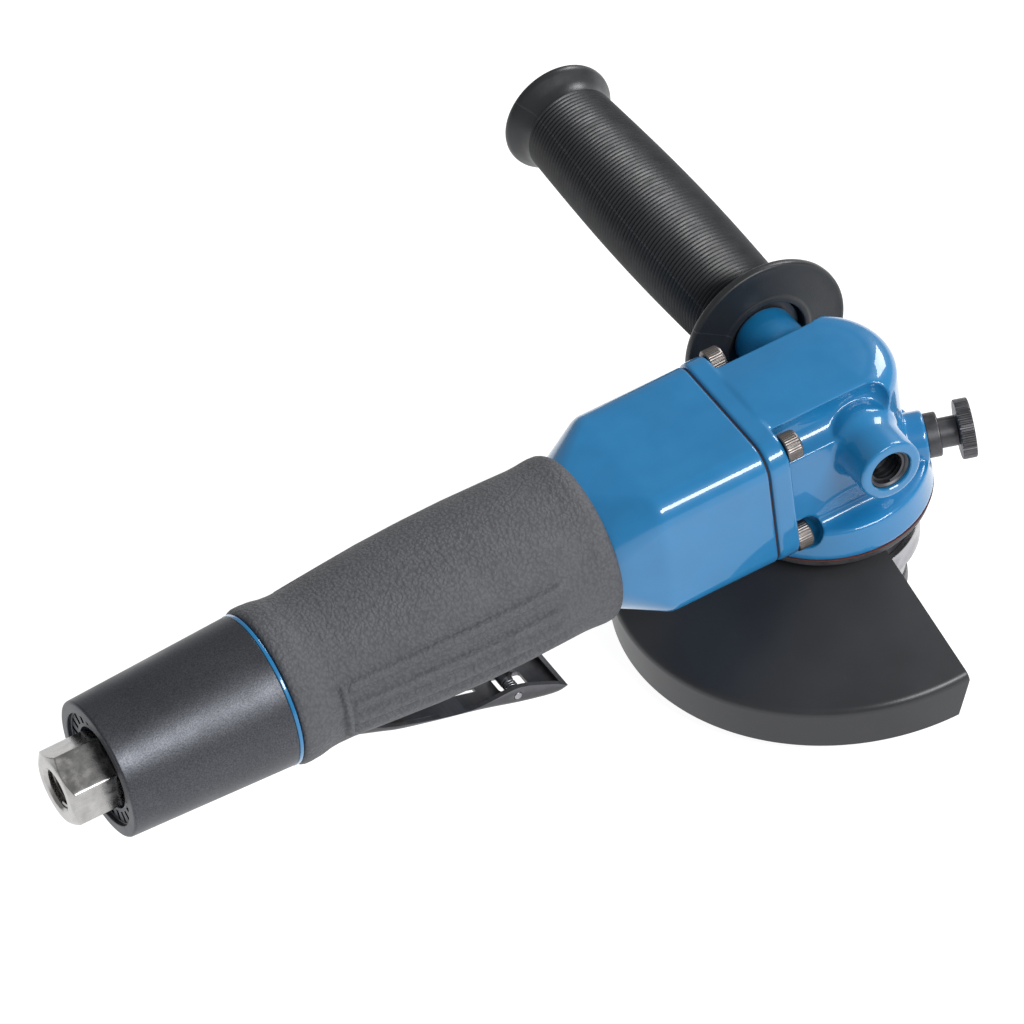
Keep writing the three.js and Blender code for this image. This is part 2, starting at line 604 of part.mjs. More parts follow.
function makeMotor() {
  const liner = turnX(rod(motor.linerRear, motor.linerFront, motor.linerOuter), sides.middle);
  const [linerStart, linerEnd] = [motor.linerRear - overrun, motor.linerFront + overrun];
  const chamber = turnX(rod(linerStart, linerEnd, motor.chamberRadius), sides.middle);
  chamber.translate(0, 0, motor.chamberShift);
  const flats = [-1, 1].map((side) => block3(
    linerStart, linerEnd,
    side * (motor.flatSide + motor.linerOuter) - motor.linerOuter,
    side * (motor.flatSide + motor.linerOuter) + motor.linerOuter, -motor.linerOuter, motor.linerOuter,
  ));
  add('cylinder_liner', cut(liner, chamber, ...flats, radialPorts(-1), radialPorts(1)), 'castIron');

  const bearingEnd = motor.bearingFront - bearing.length;
  const pocket = bored(bearing.outer, sides.middle);
  const frontPlate = turnX([
    [motor.linerFront, motor.shaftRadius + sweepGap], [motor.linerFront, motor.linerOuter],
    [motor.frontPlateFace, motor.linerOuter], [motor.frontPlateFace, motor.frontRecess],
    [motor.bearingFront, motor.frontRecess], [motor.bearingFront, pocket], [bearingEnd, pocket],
    [bearingEnd, motor.shaftRadius + sweepGap],
  ], sides.middle);
  add('front_end_plate', frontPlate, 'castIron');
  const shaftBore = bored(motor.shaftRadius, sides.small);
  const ring = tube(bearingEnd + slipGap, motor.bearingFront, bearing.outer, shaftBore);
  add('front_rotor_bearing', turnX(ring, sides.small), 'steel');

  const rearBearingEnd = motor.bearingRear - bearing.rearLength;
  const rearPlate = turnX([
    [motor.rearPlateEnd, pocket], [motor.rearPlateEnd, motor.linerOuter],
    [motor.linerRear, motor.linerOuter], [motor.linerRear, motor.shaftRadius + sweepGap],
    [motor.bearingRear, motor.shaftRadius + sweepGap], [motor.bearingRear, pocket],
  ], sides.middle);
  const ports = Array.from({ length: motor.portCount }, (_, i) => {
    const hole = rod(motor.rearPlateEnd - overrun, motor.linerRear + overrun, motor.portRadius);
    const turn = (2 * Math.PI * (i + 1 / 2)) / motor.portCount;
    return turnX(hole, sides.small).translate(0, motor.portPlace, 0).rotateX(turn);
  });
  add('rear_end_plate', cut(rearPlate, ...ports), 'castIron');
  const rearRing = tube(rearBearingEnd, motor.bearingRear - slipGap, bearing.outer, shaftBore);
  add('rear_rotor_bearing', turnX(rearRing, sides.small), 'steel');

  const rotorFront = motor.linerFront - motor.rotorEndGap;
  const rotorRear = motor.linerRear + motor.rotorEndGap;
  const rotor = turnX([
    [motor.shaftRear, 0], [motor.shaftRear, motor.shaftRadius], [rotorRear, motor.shaftRadius],
    [rotorRear, motor.rotorRadius], [rotorFront, motor.rotorRadius], [rotorFront, motor.shaftRadius],
    [motor.shaftFront, motor.shaftRadius], [motor.shaftFront, 0],
  ], sides.small);
  const vaneRoot = vane.tip - vane.depth;
  const slotHalf = vane.thickness / 2 + slipGap;
  const turns = Array.from({ length: vane.count }, (_, i) => (2 * Math.PI * i) / vane.count);
  const slots = turns.map((turn) => block3(
    rotorRear - overrun / 2, rotorFront + overrun / 2, -slotHalf, slotHalf,
    vaneRoot - slipGap, motor.rotorRadius + overrun,
  ).rotateX(turn));
  add('rotor', cut(rotor, ...slots), 'steel');
  turns.forEach((turn, i) => {
    const blade = block3(rotorRear, rotorFront, -vane.thickness / 2, vane.thickness / 2, vaneRoot, vane.tip);
    add(`vane_${i + 1}`, blade.rotateX(turn), 'composite');
  });
}

// Bevel gears

// One gear about Z with its cone's point at the origin and its teeth widening downwards
function bevelGear(teeth, mate, backThickness, bore) {
  const pitchCone = Math.atan2(teeth, mate);
  const pitchRadius = gears.coneDistance * Math.sin(pitchCone);
  const module = (2 * pitchRadius) / teeth;
  const tipCone = pitchCone + (module * gears.addendumShare) / gears.coneDistance;
  const rootCone = pitchCone - (module * gears.dedendumShare) / gears.coneDistance;
  const pitchStep = (2 * Math.PI) / teeth;
  const half = (pitchStep / 4) * (1 - gears.backlashShare);
  const slopeRoot = half + (Math.tan(gears.flankAngle) * module * gears.dedendumShare) / pitchRadius;
  const slopeTip = half - (Math.tan(gears.flankAngle) * module * gears.addendumShare) / pitchRadius;
  const columns = [];
  for (let i = 0; i < teeth; i += 1) {
    [[-slopeRoot, rootCone], [-slopeTip, tipCone], [slopeTip, tipCone], [slopeRoot, rootCone]].forEach(
      ([turn, cone]) => columns.push([i * pitchStep + turn, cone]),
    );
  }
  const toothRing = (distance) => columns.map(([turn, cone]) => new THREE.Vector3(
    distance * Math.sin(cone) * Math.cos(turn), distance * Math.sin(cone) * Math.sin(turn),
    -distance * Math.cos(cone),
  ));
  const plainRing = (radius, z) => columns.map(([turn]) => new THREE.Vector3(
    radius * Math.cos(turn), radius * Math.sin(turn), z,
  ));
  const small = gears.coneDistance - gears.faceWidth;
  const rootRadius = gears.coneDistance * Math.sin(rootCone);
  const rootZ = -gears.coneDistance * Math.cos(rootCone);
  const innerRadius = small * Math.sin(rootCone) - edgeBreak;
  const innerZ = -small * Math.cos(rootCone);
  const backZ = rootZ - backThickness;
  const body = loft([
    plainRing(rootRadius - backThickness / 2, backZ),
    toothRing(gears.coneDistance), toothRing(small), plainRing(innerRadius, innerZ),
  ]);
  const hole = turnZ(rod(backZ - overrun, overrun, bore), sides.small);
  return { body, hole, backZ };
}

function makeGears() {
  const wheelBore = bored(spindle.radius, sides.small);
  const wheel = bevelGear(gears.wheelTeeth, gears.pinionTeeth, gears.backThickness, wheelBore);
  const hubBottom = lowerBearing.top + slipGap;
  const hub = turnZ(tube(hubBottom, wheel.backZ + edgeBreak, gears.hubRadius, wheelBore), sides.small);
  const holes = Array.from({ length: gears.holeCount }, (_, i) => {
    const reach = gears.hubRadius + overrun;
    const hole = turnX(rod(wheelBore - overrun / 2, reach, lock.pinRadius + slipGap), sides.small);
    return hole.rotateZ(lock.angle + (2 * Math.PI * i) / gears.holeCount).translate(0, 0, lock.height);
  });
  add('bevel_gear', cut(join(wheel.body, hub), wheel.hole, ...holes), 'steel');

  const pinionBore = bored(motor.shaftRadius, sides.small);
  const pinion = bevelGear(gears.pinionTeeth, gears.wheelTeeth, gears.backThickness, pinionBore);
  // The wheel has an odd number of teeth, so a gap of it faces the pinion's first tooth
  const solid = cut(pinion.body, pinion.hole);
  add('bevel_pinion', toGeometry(solid).rotateY(Math.PI / 2), 'steel');

  const spacerRear = motor.bearingFront + slipGap;
  const spacer = tube(spacerRear, pinion.backZ - slipGap, bearing.outer - edgeBreak * 2, pinionBore);
  add('pinion_spacer', turnX(spacer, sides.small), 'steel');
}

// Gear head

function headOutline(z, inset) {
  const width = head.bodyHalfWidth - inset;
  const nose = head.noseRadius - inset;
  const reach = Math.asin(width / nose);
  const points = [];
  for (let i = 0; i <= sides.small; i += 1) {
    const turn = THREE.MathUtils.lerp(-reach, reach, i / sides.small);
    points.push(new THREE.Vector3(nose * Math.cos(turn), nose * Math.sin(turn), z));
  }
  const rear = head.flangeFront - edgeBreak;
  points.push(new THREE.Vector3(rear, width, z), new THREE.Vector3(rear, -width, z));
  return points;
}

function headBody() {
  const rings = [headOutline(head.baseTop - overrun, 0)];
  const steps = 4;
  for (let i = 0; i <= steps; i += 1) {
    const turn = ((Math.PI / 2) * i) / steps;
    const inset = head.edgeDepth * (1 - Math.cos(turn));
    rings.push(headOutline(head.bodyTop - head.edgeHeight * (1 - Math.sin(turn)), inset));
  }
  rings.push(headOutline(head.bodyTop + head.domeRise, head.edgeDepth * 2));
  return loft(rings);
}

function lockPiece(profile, sides) {
  return turnX(profile, sides).rotateZ(lock.angle).translate(0, 0, lock.height);
}

function bossAt(side, profile, sides) {
  const piece = turnY(profile, sides);
  if (side < 0) return piece.rotateZ(Math.PI).translate(boss.forward, 0, boss.nearHeight);
  return piece.rotateX(-boss.droop).translate(boss.forward, 0, boss.farHeight);
}

function makeHead() {
  const flangeSize = { ...head, topCorner: head.corner, bottomCorner: head.corner };
  const flange = loft([
    sectionRing(flangeRear, flangeSize, -edgeBreak / 2), sectionRing(flangeRear + edgeBreak, flangeSize),
    sectionRing(head.flangeFront - edgeBreak, flangeSize),
    sectionRing(head.flangeFront, flangeSize, -edgeBreak),
  ]);
  const base = turnZ([
    [head.baseBottom, 0], [head.baseBottom, baseRadius - edgeBreak],
    [head.baseBottom + edgeBreak, baseRadius], [head.baseTop - edgeBreak, baseRadius - head.baseDraft],
    [head.baseTop, baseRadius - head.baseDraft - edgeBreak], [head.baseTop, 0],
  ], sides.large);
  const channels = screwPlaces((y, z) => {
    const [end, radius] = z > 0 ? [head.channelEnd, head.channelRadius] : [head.pocketEnd, head.pocketRadius];
    const groove = turnX(rod(head.flangeFront, end, radius), sides.middle);
    const ball = new THREE.SphereGeometry(radius, sides.small, sides.small / 2);
    return join(groove, ball.rotateZ(Math.PI / 2).translate(end, 0, 0)).translate([0, y, z]);
  });
  const bosses = [
    bossAt(-1, brokenRod(boss.root, boss.nearReach, boss.radius, edgeBreak), sides.middle),
    bossAt(1, brokenRod(boss.root, boss.farReach, boss.radius, edgeBreak), sides.middle),
  ];
  const pocket = rod(lock.bossReach - edgeBreak, lock.bossReach + lock.pocketRadius, lock.pocketRadius);
  const lockPocket = lockPiece(pocket, sides.middle);
  const lockRod = brokenRod(lock.bossRoot, lock.bossReach, lock.bossRadius, edgeBreak / 2);
  const lockBoss = lockPiece(lockRod, sides.middle);
  const outside = join(cut(join(headBody(), base), ...channels, lockPocket), flange, ...bosses, lockBoss);

  const upperPocket = bored(upperBearing.outer, sides.large);
  const chamber = turnZ([
    [head.baseBottom - overrun, 0], [head.baseBottom - overrun, head.chamberRadius],
    [head.chamberTop, head.chamberRadius], [head.chamberTop, upperPocket],
    [upperBearing.bottom + upperBearing.length + seatGap, upperPocket],
    [upperBearing.bottom + upperBearing.length + seatGap, 0],
  ], sides.large);
  const shaftHole = turnX(rod(flangeRear - overrun, 0, head.shaftHole), sides.middle);
  const insertEnd = (reach) => reach - boss.insertLength - boss.insertRecess - seatGap;
  const insertHole = (side, reach) => bossAt(
    side, rod(insertEnd(reach), reach + overrun, boss.insertRadius + slipGap), sides.middle,
  );
  const insertHoles = [insertHole(-1, boss.nearReach), insertHole(1, boss.farReach)];
  const lockWay = rod(lock.bossRoot, lock.bossReach + overrun, lock.bushingThread + slipGap);
  const lockHole = lockPiece(lockWay, sides.middle);
  const screwHoles = screwPlaces((y, z) => turnX(
    rod(flangeRear - overrun, head.flangeFront + overrun, screw.shankRadius + slipGap), sides.hole,
  ).translate(0, y, z));
  const capHoles = capScrewAngles.map((angle) => turnZ(
    rod(head.baseBottom - overrun, head.baseBottom + cap.screwDepth, cap.screwShank + slipGap), sides.hole,
  ).translate(capScrewPlace, 0, 0).rotateZ(angle));
  const holes = [chamber, shaftHole, ...insertHoles, lockHole, ...screwHoles, ...capHoles];
  add('gear_head', cut(outside, ...holes), 'bluePaint');

  const inserts = [[-1, boss.nearReach, 'handle_insert_near'], [1, boss.farReach, 'handle_insert_far']];
  inserts.forEach(([side, reach, name]) => {
    const face = reach - boss.insertRecess;
    const mouth = boss.mouthRadius - boss.threadRadius;
    const insert = bossAt(side, [
      [face - boss.insertLength, boss.threadRadius], [face - boss.insertLength, boss.insertRadius],
      [face, boss.insertRadius], [face, boss.mouthRadius], [face - mouth, boss.threadRadius],
    ], sides.middle);
    add(name, insert, 'steel');
  });
}

function makeHeadScrews() {
  screwPlaces((y, z, i) => {
    const face = head.flangeFront + screw.headLength;
    const body = turnX([
      [head.flangeFront - screw.shankLength, 0], [head.flangeFront - screw.shankLength, screw.shankRadius],
      [head.flangeFront, screw.shankRadius], [head.flangeFront, screw.headRadius],
      [face - edgeBreak / 2, screw.headRadius], [face, screw.headRadius - edgeBreak / 2], [face, 0],
    ], sides.small);
    const socket = hexPrism(face - screw.socketDepth, face + overrun, screw.socketAcross);
    add(`head_screw_${i + 1}`, toGeometry(cut(body, socket)).translate(0, y, z), 'screwSteel');
  });
}

// Spindle lock

function makeSpindleLock() {
  const bore = lock.stemRadius + slipGap;
  const step = lock.stemEnd - lock.travel - lock.springLength;
  const bushing = lockPiece([
    [lock.wallEnd, lock.pinRadius + slipGap], [lock.wallEnd, lock.bushingThread],
    [lock.bossReach, lock.bushingThread], [lock.bossReach, lock.bushingRadius],
    [lock.bushingReach - edgeBreak / 2, lock.bushingRadius],
    [lock.bushingReach, lock.bushingRadius - edgeBreak / 2],
    [lock.bushingReach, bore], [step, bore], [step, lock.pinRadius + slipGap],
  ], sides.small);
  add('lock_bushing', bushing, 'blackSteel');

  const knobFace = lock.knobPlace + lock.knobThickness;
  const pinTip = gears.hubRadius + sweepGap;
  const pin = lockPiece([
    [pinTip, 0], [pinTip, lock.pinRadius - edgeBreak / 2], [pinTip + edgeBreak / 2, lock.pinRadius],
    [lock.stemEnd, lock.pinRadius], [lock.stemEnd, lock.stemRadius], [lock.knobPlace, lock.stemRadius],
    [lock.knobPlace, lock.stemRadius / 2], [knobFace - edgeBreak * 2, lock.stemRadius / 2],
    [knobFace - edgeBreak * 2, 0],
  ], sides.small);
  add('lock_pin', pin, 'steel');

  const facets = lock.knurlCount * 2;
  const ring = (x, inset) => Array.from({ length: facets }, (_, i) => {
    const turn = (2 * Math.PI * i) / facets;
    const radius = lock.knobRadius - inset - (i % 2) * lock.knurlDepth;
    return new THREE.Vector3(x, radius * Math.cos(turn), radius * Math.sin(turn));
  });
  const knob = loft([
    ring(lock.knobPlace + slipGap, edgeBreak / 2), ring(lock.knobPlace + slipGap + edgeBreak / 2, 0),
    ring(knobFace - edgeBreak / 2, 0), ring(knobFace, edgeBreak / 2),
  ]);
  const stemHole = turnX(rod(0, knobFace - edgeBreak, lock.stemRadius / 2 + slipGap), sides.small);
  const knobSolid = toGeometry(cut(knob, stemHole)).rotateZ(lock.angle).translate(0, 0, lock.height);
  add('lock_knob', knobSolid, 'blackSteel');

  const springLength = lock.springLength - seatGap * 2;
  const middle = (lock.pinRadius + lock.stemRadius) / 2 + slipGap / 2;
  const spring = coil('lock_spring', middle, lock.springWire, 0, springLength, lock.springCurls);
  spring.rotateY(Math.PI / 2).translate(step + seatGap, 0, 0);
  add('lock_spring', spring.rotateZ(lock.angle).translate(0, 0, lock.height), 'steel');
}

// Spindle, bearings, cap and flanges

function makeSpindle() {
  const profile = [[-axisHeight, 0], [-axisHeight, spindle.threadRoot]];
  const threadTop = clampFlange.bottom - clampFlange.pilot;
  const turns = Math.floor((threadTop + axisHeight) / spindle.threadPitch);
  for (let i = 0; i < turns; i += 1) {
    const z = -axisHeight + spindle.threadPitch * i;
    profile.push([z + spindle.threadPitch / 2, spindle.threadRadius]);
    profile.push([z + spindle.threadPitch, spindle.threadRoot]);
  }
  const shoulder = upperBearing.bottom - seatGap;
  profile.push(
    [threadTop, spindle.threadRadius], [threadTop, spindle.radius], [shoulder, spindle.radius],
    [shoulder, spindle.topRadius], [spindle.topEnd, spindle.topRadius], [spindle.topEnd, 0],
  );
  add('spindle', turnZ(profile, sides.small), 'steel');

  const upper = tube(
    upperBearing.bottom, upperBearing.bottom + upperBearing.length, upperBearing.outer,
    bored(spindle.topRadius, sides.small),
  );
  add('upper_spindle_bearing', turnZ(upper, sides.small), 'steel');
  const lower = tube(
    lowerBearing.top - lowerBearing.length, lowerBearing.top, lowerBearing.outer,
    bored(spindle.radius, sides.middle),
  );
  add('lower_spindle_bearing', turnZ(lower, sides.middle), 'steel');

  const gasketHoles = capScrewAngles.map((angle) => turnZ(
    rod(capTop - overrun, head.baseBottom + overrun, cap.screwShank + slipGap), sides.hole,
  ).translate(capScrewPlace, 0, 0).rotateZ(angle));
  const gasket = turnZ(tube(capTop, head.baseBottom, baseRadius - slipGap, head.chamberRadius), sides.large);
  add('cap_gasket', cut(gasket, ...gasketHoles), 'redGasket');

  const pocketBottom = lowerBearing.top - lowerBearing.length - slipGap;
  const bearingPocket = bored(lowerBearing.outer, sides.large);
  const capBody = turnZ([
    [pocketBottom, bearingPocket], [lowerBearing.top, bearingPocket],
    [lowerBearing.top, head.chamberRadius - slipGap], [capTop, head.chamberRadius - slipGap],
    [capTop, capFlangeRadius], [cap.flangeBottom, capFlangeRadius], [cap.flangeBottom, cap.neckRadius],
    [cap.neckBottom + edgeBreak, cap.neckRadius], [cap.neckBottom, cap.neckRadius - edgeBreak],
    [cap.neckBottom, cap.sealRadius], [pocketBottom, cap.sealRadius],
  ], sides.large);
  const capHoles = capScrewAngles.map((angle) => turnZ(
    rod(cap.flangeBottom - overrun, capTop + overrun, cap.screwShank + slipGap), sides.hole,
  ).translate(capScrewPlace, 0, 0).rotateZ(angle));
  add('bearing_cap', cut(capBody, ...capHoles), 'blackSteel');
  capScrewAngles.forEach((angle, i) => {
    const end = head.baseBottom + cap.screwDepth - overrun;
    const capScrew = turnZ([
      [cap.flangeBottom - cap.screwHeadLength, 0], [cap.flangeBottom - cap.screwHeadLength, cap.screwHead],
      [cap.flangeBottom, cap.screwHead], [cap.flangeBottom, cap.screwShank], [end, cap.screwShank], [end, 0],
    ], sides.small);
    add(`cap_screw_${i + 1}`, capScrew.translate(capScrewPlace, 0, 0).rotateZ(angle), 'screwSteel');
  });

  const flangeFoot = clampFlange.bottom - clampFlange.pilot;
  const flangeBore = bored(spindle.radius, sides.large);
  const innerFlange = turnZ([
    [flangeFoot, flangeBore], [flangeFoot, clampFlange.hubRadius],
    [clampFlange.bottom, clampFlange.hubRadius], [clampFlange.bottom, clampFlange.radius],
    [clampFlange.top, clampFlange.radius], [clampFlange.hubTop, clampFlange.hubRadius],
    [clampFlange.hubTop, flangeBore],
  ], sides.large);
  add('inner_flange', innerFlange, 'steel');

  const nutTop = flangeFoot - nut.gap;
  const nutBottom = nutTop - nut.thickness;
  const nutBore = bored(spindle.threadRadius, sides.large);
  const nutBody = turnZ([
    [nutBottom, nutBore], [nutBottom, clampFlange.radius - edgeBreak],
    [nutBottom + edgeBreak, clampFlange.radius], [nutTop, clampFlange.radius], [nutTop, nutBore],
  ], sides.large);
  const pinHoles = Array.from({ length: nut.pinCount }, (_, i) => turnZ(
    rod(nutBottom - overrun, nutTop + overrun, nut.pinHole), sides.hole,
  ).translate(nut.pinPlace, 0, 0).rotateZ((2 * Math.PI * i) / nut.pinCount));
  add('flange_nut', cut(nutBody, ...pinHoles), 'blackSteel');
}

// Guard

// Points round the guard's bend, from its sloping plate to its skirt
function guardBend(reach) {
  const steps = 3;
  const points = [];
  for (let i = 0; i <= steps; i += 1) {
    const turn = THREE.MathUtils.lerp(guardSlope, Math.PI / 2, i / steps);
    points.push([
      guardBendPlace.height + reach * Math.cos(turn), guardBendPlace.radius + reach * Math.sin(turn),
    ]);
  }
  return points;
}

function makeGuard() {
  const inner = guard.bend - guard.sheet;
  const collarInner = cap.neckRadius + seatGap;
  const shoulderBottom = guard.collarTop - guard.sheet / Math.cos(guardSlope);
  const profile = [
    [guard.collarBottom, collarInner], [guard.collarTop, collarInner],
    [guard.collarTop, guard.shoulderRadius],
    ...guardBend(guard.bend), [guard.bottom, guard.radius], [guard.bottom, guard.radius - guard.sheet],
    ...guardBend(inner).reverse(), [shoulderBottom, guard.shoulderRadius],
    [shoulderBottom, guard.collarOuter], [guard.collarBottom, guard.collarOuter],
  ];
  const reach = guard.radius + overrun;
  const bendEnd = guardBendPlace.height;
  const front = block3(guard.chord, reach, -reach, reach, guard.bottom - overrun, guard.collarTop + overrun);
  const slant = plate([
    [guard.chord, bendEnd], [guard.chord - guard.slant, guard.bottom],
    [guard.chord - guard.slant, guard.bottom - overrun], [reach, guard.bottom - overrun], [reach, bendEnd],
  ], -reach, reach);
  const collar = rod(guard.bottom - overrun, guard.collarTop + overrun, guard.collarOuter + guard.rootLip);
  const away = cut(join(front, slant), turnZ(collar, sides.large));
  const turned = toGeometry(away).rotateZ(guard.turn);
  const dish = turnZ(profile, sides.large).rotateZ(guard.facetTurn);
  add('guard', cut(dish, turned), 'blackSteel');

  const ring = turnZ(tube(band.bottom, band.top, band.outer, guard.collarOuter + slipGap), sides.large);
  const earEnd = band.outer + band.earLength;
  const reachY = band.gap / 2 + band.earThickness;
  const ears = block3(band.outer - bandThickness / 2, earEnd, -reachY, reachY, band.bottom, band.top);
  const gap = block3(guard.collarOuter - overrun, earEnd + overrun, -band.gap / 2, band.gap / 2,
    band.bottom - overrun, band.top + overrun);
  const place = band.outer + band.earLength / 2;
  const height = (band.top + band.bottom) / 2;
  const hole = turnY(rod(-reachY - overrun, reachY + overrun, band.screwRadius + slipGap), sides.small);
  hole.translate(place, 0, height);
  add('guard_clamp', toGeometry(cut(join(ring, ears), gap, hole)).rotateZ(band.angle), 'steel');

  const tail = reachY + band.nutLength + edgeBreak * 2;
  const screwBody = turnY([
    [-reachY - band.headLength, 0], [-reachY - band.headLength, band.headRadius], [-reachY, band.headRadius],
    [-reachY, band.screwRadius], [tail, band.screwRadius], [tail, 0],
  ], sides.small);
  add('clamp_screw', screwBody.translate(place, 0, height).rotateZ(band.angle), 'screwSteel');
  const nutSolid = cut(
    hexPrism(reachY, reachY + band.nutLength, band.nutAcross),
    turnX(rod(0, reachY + band.nutLength + overrun, bored(band.screwRadius, sides.small)), sides.small),
  );
  const nutShape = toGeometry(nutSolid).rotateZ(Math.PI / 2).translate(place, 0, height);
  add('clamp_nut', nutShape.rotateZ(band.angle), 'screwSteel');
}

// Side handle

function makeHandle() {
  const collarEnd = handle.collarPlace + handle.collarThickness;
  const profile = [
    [handle.collarPlace, handle.holeRadius], [handle.collarPlace, handle.collarRadius - edgeBreak],
    [handle.collarPlace + edgeBreak, handle.collarRadius], [collarEnd - edgeBreak, handle.collarRadius],
    [collarEnd, handle.collarRadius - edgeBreak * 2],
  ];
  const pitch = (handle.ribEnd - handle.ribStart) / handle.ribCount;
  const rise = handle.middleRadius - (handle.rootRadius + handle.flareNeck) / 2;
  for (let i = 0; i < handle.ribCount; i += 1) {
    const share = (i + 1 / 2) / handle.ribCount;
    const ends = THREE.MathUtils.lerp(handle.rootRadius, handle.flareNeck, share);
    const swell = rise * Math.sin(Math.PI * share);
    const place = handle.ribStart + pitch * i;
    profile.push([place, ends + swell - handle.ribDepth], [place + pitch / 2, ends + swell]);
  }
  const flareLength = handle.end - handle.ribEnd;
  const flareRise = handle.flareRadius - handle.flareNeck;
  profile.push([handle.ribEnd, handle.flareNeck - handle.ribDepth]);
  flareLengthShares.forEach((along, i) => {
    profile.push([handle.ribEnd + flareLength * along, handle.flareNeck + flareRise * flareRiseShares[i]]);
  });
  profile.push([handle.end - edgeBreak / 2, handle.flareRadius - edgeBreak], [handle.end, handle.flareNeck]);
  profile.push([handle.end, 0], [handle.boreEnd, 0], [handle.boreEnd, handle.boreRadius]);
  const holeEnd = handle.collarPlace + handle.holeDepth;
  profile.push([holeEnd, handle.boreRadius], [holeEnd, handle.holeRadius]);
  add('side_handle_grip', bossAt(1, profile, sides.ribbed), 'blackRubber');

  const seat = boss.farReach + seatGap;
  const core = bossAt(1, [
    [handle.studReach, 0], [handle.studReach, handle.studRadius - edgeBreak],
    [handle.studReach + edgeBreak, handle.studRadius], [seat, handle.studRadius], [seat, handle.coreFlange],
    [holeEnd - slipGap, handle.coreFlange], [holeEnd - slipGap, handle.boreRadius - slipGap],
    [handle.boreEnd - overrun, handle.boreRadius - slipGap], [handle.boreEnd - overrun, 0],
  ], sides.ribbed);
  add('side_handle_core', core, 'blackSteel');
}

// Throttle lever and valve

// A pin right across the lever
function leverPin(radius) {
  const reach = lever.halfWidth + slipGap;
  return turnY(rod(-reach, reach, radius), sides.small);
}

function makeLever() {
  const lug = [];
  for (let i = 0; i <= sides.ribbed; i += 1) {
    const turn = lever.lugStart + (lever.lugSweep * i) / sides.ribbed;
    lug.push([
      lever.pivotX + lever.lugRadius * Math.cos(turn), lever.pivotZ + lever.lugRadius * Math.sin(turn),
    ]);
  }
  const outside = plate([...lug, ...leverBottom, ...leverTop], -lever.halfWidth, lever.halfWidth);
  const inside = lever.halfWidth - lever.sheet;
  const webRear = alongLever(lever.webShare);
  const floor = leverBottom.filter(([x]) => x > webRear).map(([x, z]) => [x, z + lever.sheet]);
  const frontEnd = leverTop[0][0] - lever.frontWall;
  const webStart = leverBottom.findIndex(([x]) => x > webRear);
  const hollow = plate([
    [webRear, leverBottom[0][1] * 2], ...floor.filter(([x]) => x < frontEnd),
    [frontEnd, floor[floor.length - 3][1]], [frontEnd, 0], [lever.pivotX - lever.lugRadius * 2, 0],
    [lever.pivotX - lever.lugRadius * 2, leverBottom[webStart][1] * 2],
  ], -inside, inside);
  const pinHole = pinBore(lever.halfWidth, lever.pinRadius).translate(lever.pivotX, 0, lever.pivotZ);
  const catchHole = pinBore(lever.halfWidth, safety.pinRadius).translate(catchX, 0, catchZ);
  const deep = leverBottom[0][1] * 2;
  const window = block3(
    ...lever.windowShares.map(alongLever), -lever.windowHalfWidth, lever.windowHalfWidth, deep, catchZ,
  );
  const slot = block3(
    ...lever.slotShares.map(alongLever), -lever.slotHalfWidth, lever.slotHalfWidth, deep,
    catchZ + safety.hubRadius * 3,
  );
  add('throttle_lever', cut(outside, hollow, pinHole, catchHole, window, slot), 'blackSteel');

  const pin = leverPin(lever.pinRadius);
  add('lever_pin', pin.translate(lever.pivotX, 0, lever.pivotZ), 'steel');
}

function makeSafetyCatch() {
  const place = (shape) => shape.translate(catchX, 0, catchZ);
  const hub = turnY(rod(-safety.halfWidth, safety.halfWidth, safety.hubRadius), sides.small);
  const blade = (length, lean) => block3(
    0, length, -safety.halfWidth, safety.halfWidth, -safety.sheet / 2, safety.sheet / 2,
  ).rotateY(-lean);
  const bore = pinBore(safety.halfWidth, safety.pinRadius);
  const leg = blade(safety.legLength, safety.legLean);
  const foot = blade(safety.footLength, safety.footLean);
  add('safety_catch', place(toGeometry(cut(join(hub, leg, foot), bore))), 'blackSteel');
  const pin = leverPin(safety.pinRadius);
  add('catch_pin', place(pin), 'steel');
  const half = (safety.springCurls * (safety.springWire + seatGap * 2)) / 2;
  const spring = coil(
    'catch_spring', safety.springRadius, safety.springWire, -half, half, safety.springCurls,
  );
  add('catch_spring', place(spring.rotateX(Math.PI / 2).translate(0, -safety.springPlace, 0)), 'steel');
}

function makeValve() {
  const upright = (profile, sides) => turnZ(profile, sides).translate(valve.place, 0, 0);
  const bushing = upright([
    [block.bottom + slipGap, valve.stemRadius + slipGap], [block.bottom + slipGap, valve.bushingRadius],
    [valve.bushingTop, valve.bushingRadius], [valve.bushingTop, valve.seatRadius],
    [valve.guideTop, valve.seatRadius], [valve.guideTop, valve.stemRadius + slipGap],
  ], sides.small);
  add('valve_bushing', bushing, 'brass');
  const headBottom = valve.bushingTop + seatGap;
  const headTop = headBottom + valve.headLength;
  const stem = upright([
    [valve.stemBottom, 0], [valve.stemBottom, valve.stemRadius], [headBottom, valve.stemRadius],
    [headBottom, valve.headRadius], [headTop, valve.headRadius], [headTop, valve.stemRadius],
    [headTop + valve.tipLength, valve.stemRadius], [headTop + valve.tipLength, 0],
  ], sides.small);
  add('valve_stem', stem, 'steel');
  const spring = coil(
    'valve_spring', valve.springRadius, valve.springWire, headTop + seatGap, valve.boreTop - seatGap,
    valve.springCurls,
  );
  add('valve_spring', spring.translate(valve.place, 0, 0), 'steel');
}

makeInlet();
makeExhaustSleeve();
makeHousing();
makeGrip();
makeMotor();
makeGears();
makeHead();
makeHeadScrews();
makeSpindleLock();
makeSpindle();
makeGuard();
makeHandle();
makeLever();
makeSafetyCatch();
makeValve();

export default tool;
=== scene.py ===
import math

import bmesh
import bpy
import numpy as np
from bpy.props import FloatProperty, FloatVectorProperty, IntProperty, PointerProperty
from mathutils import Matrix, Vector


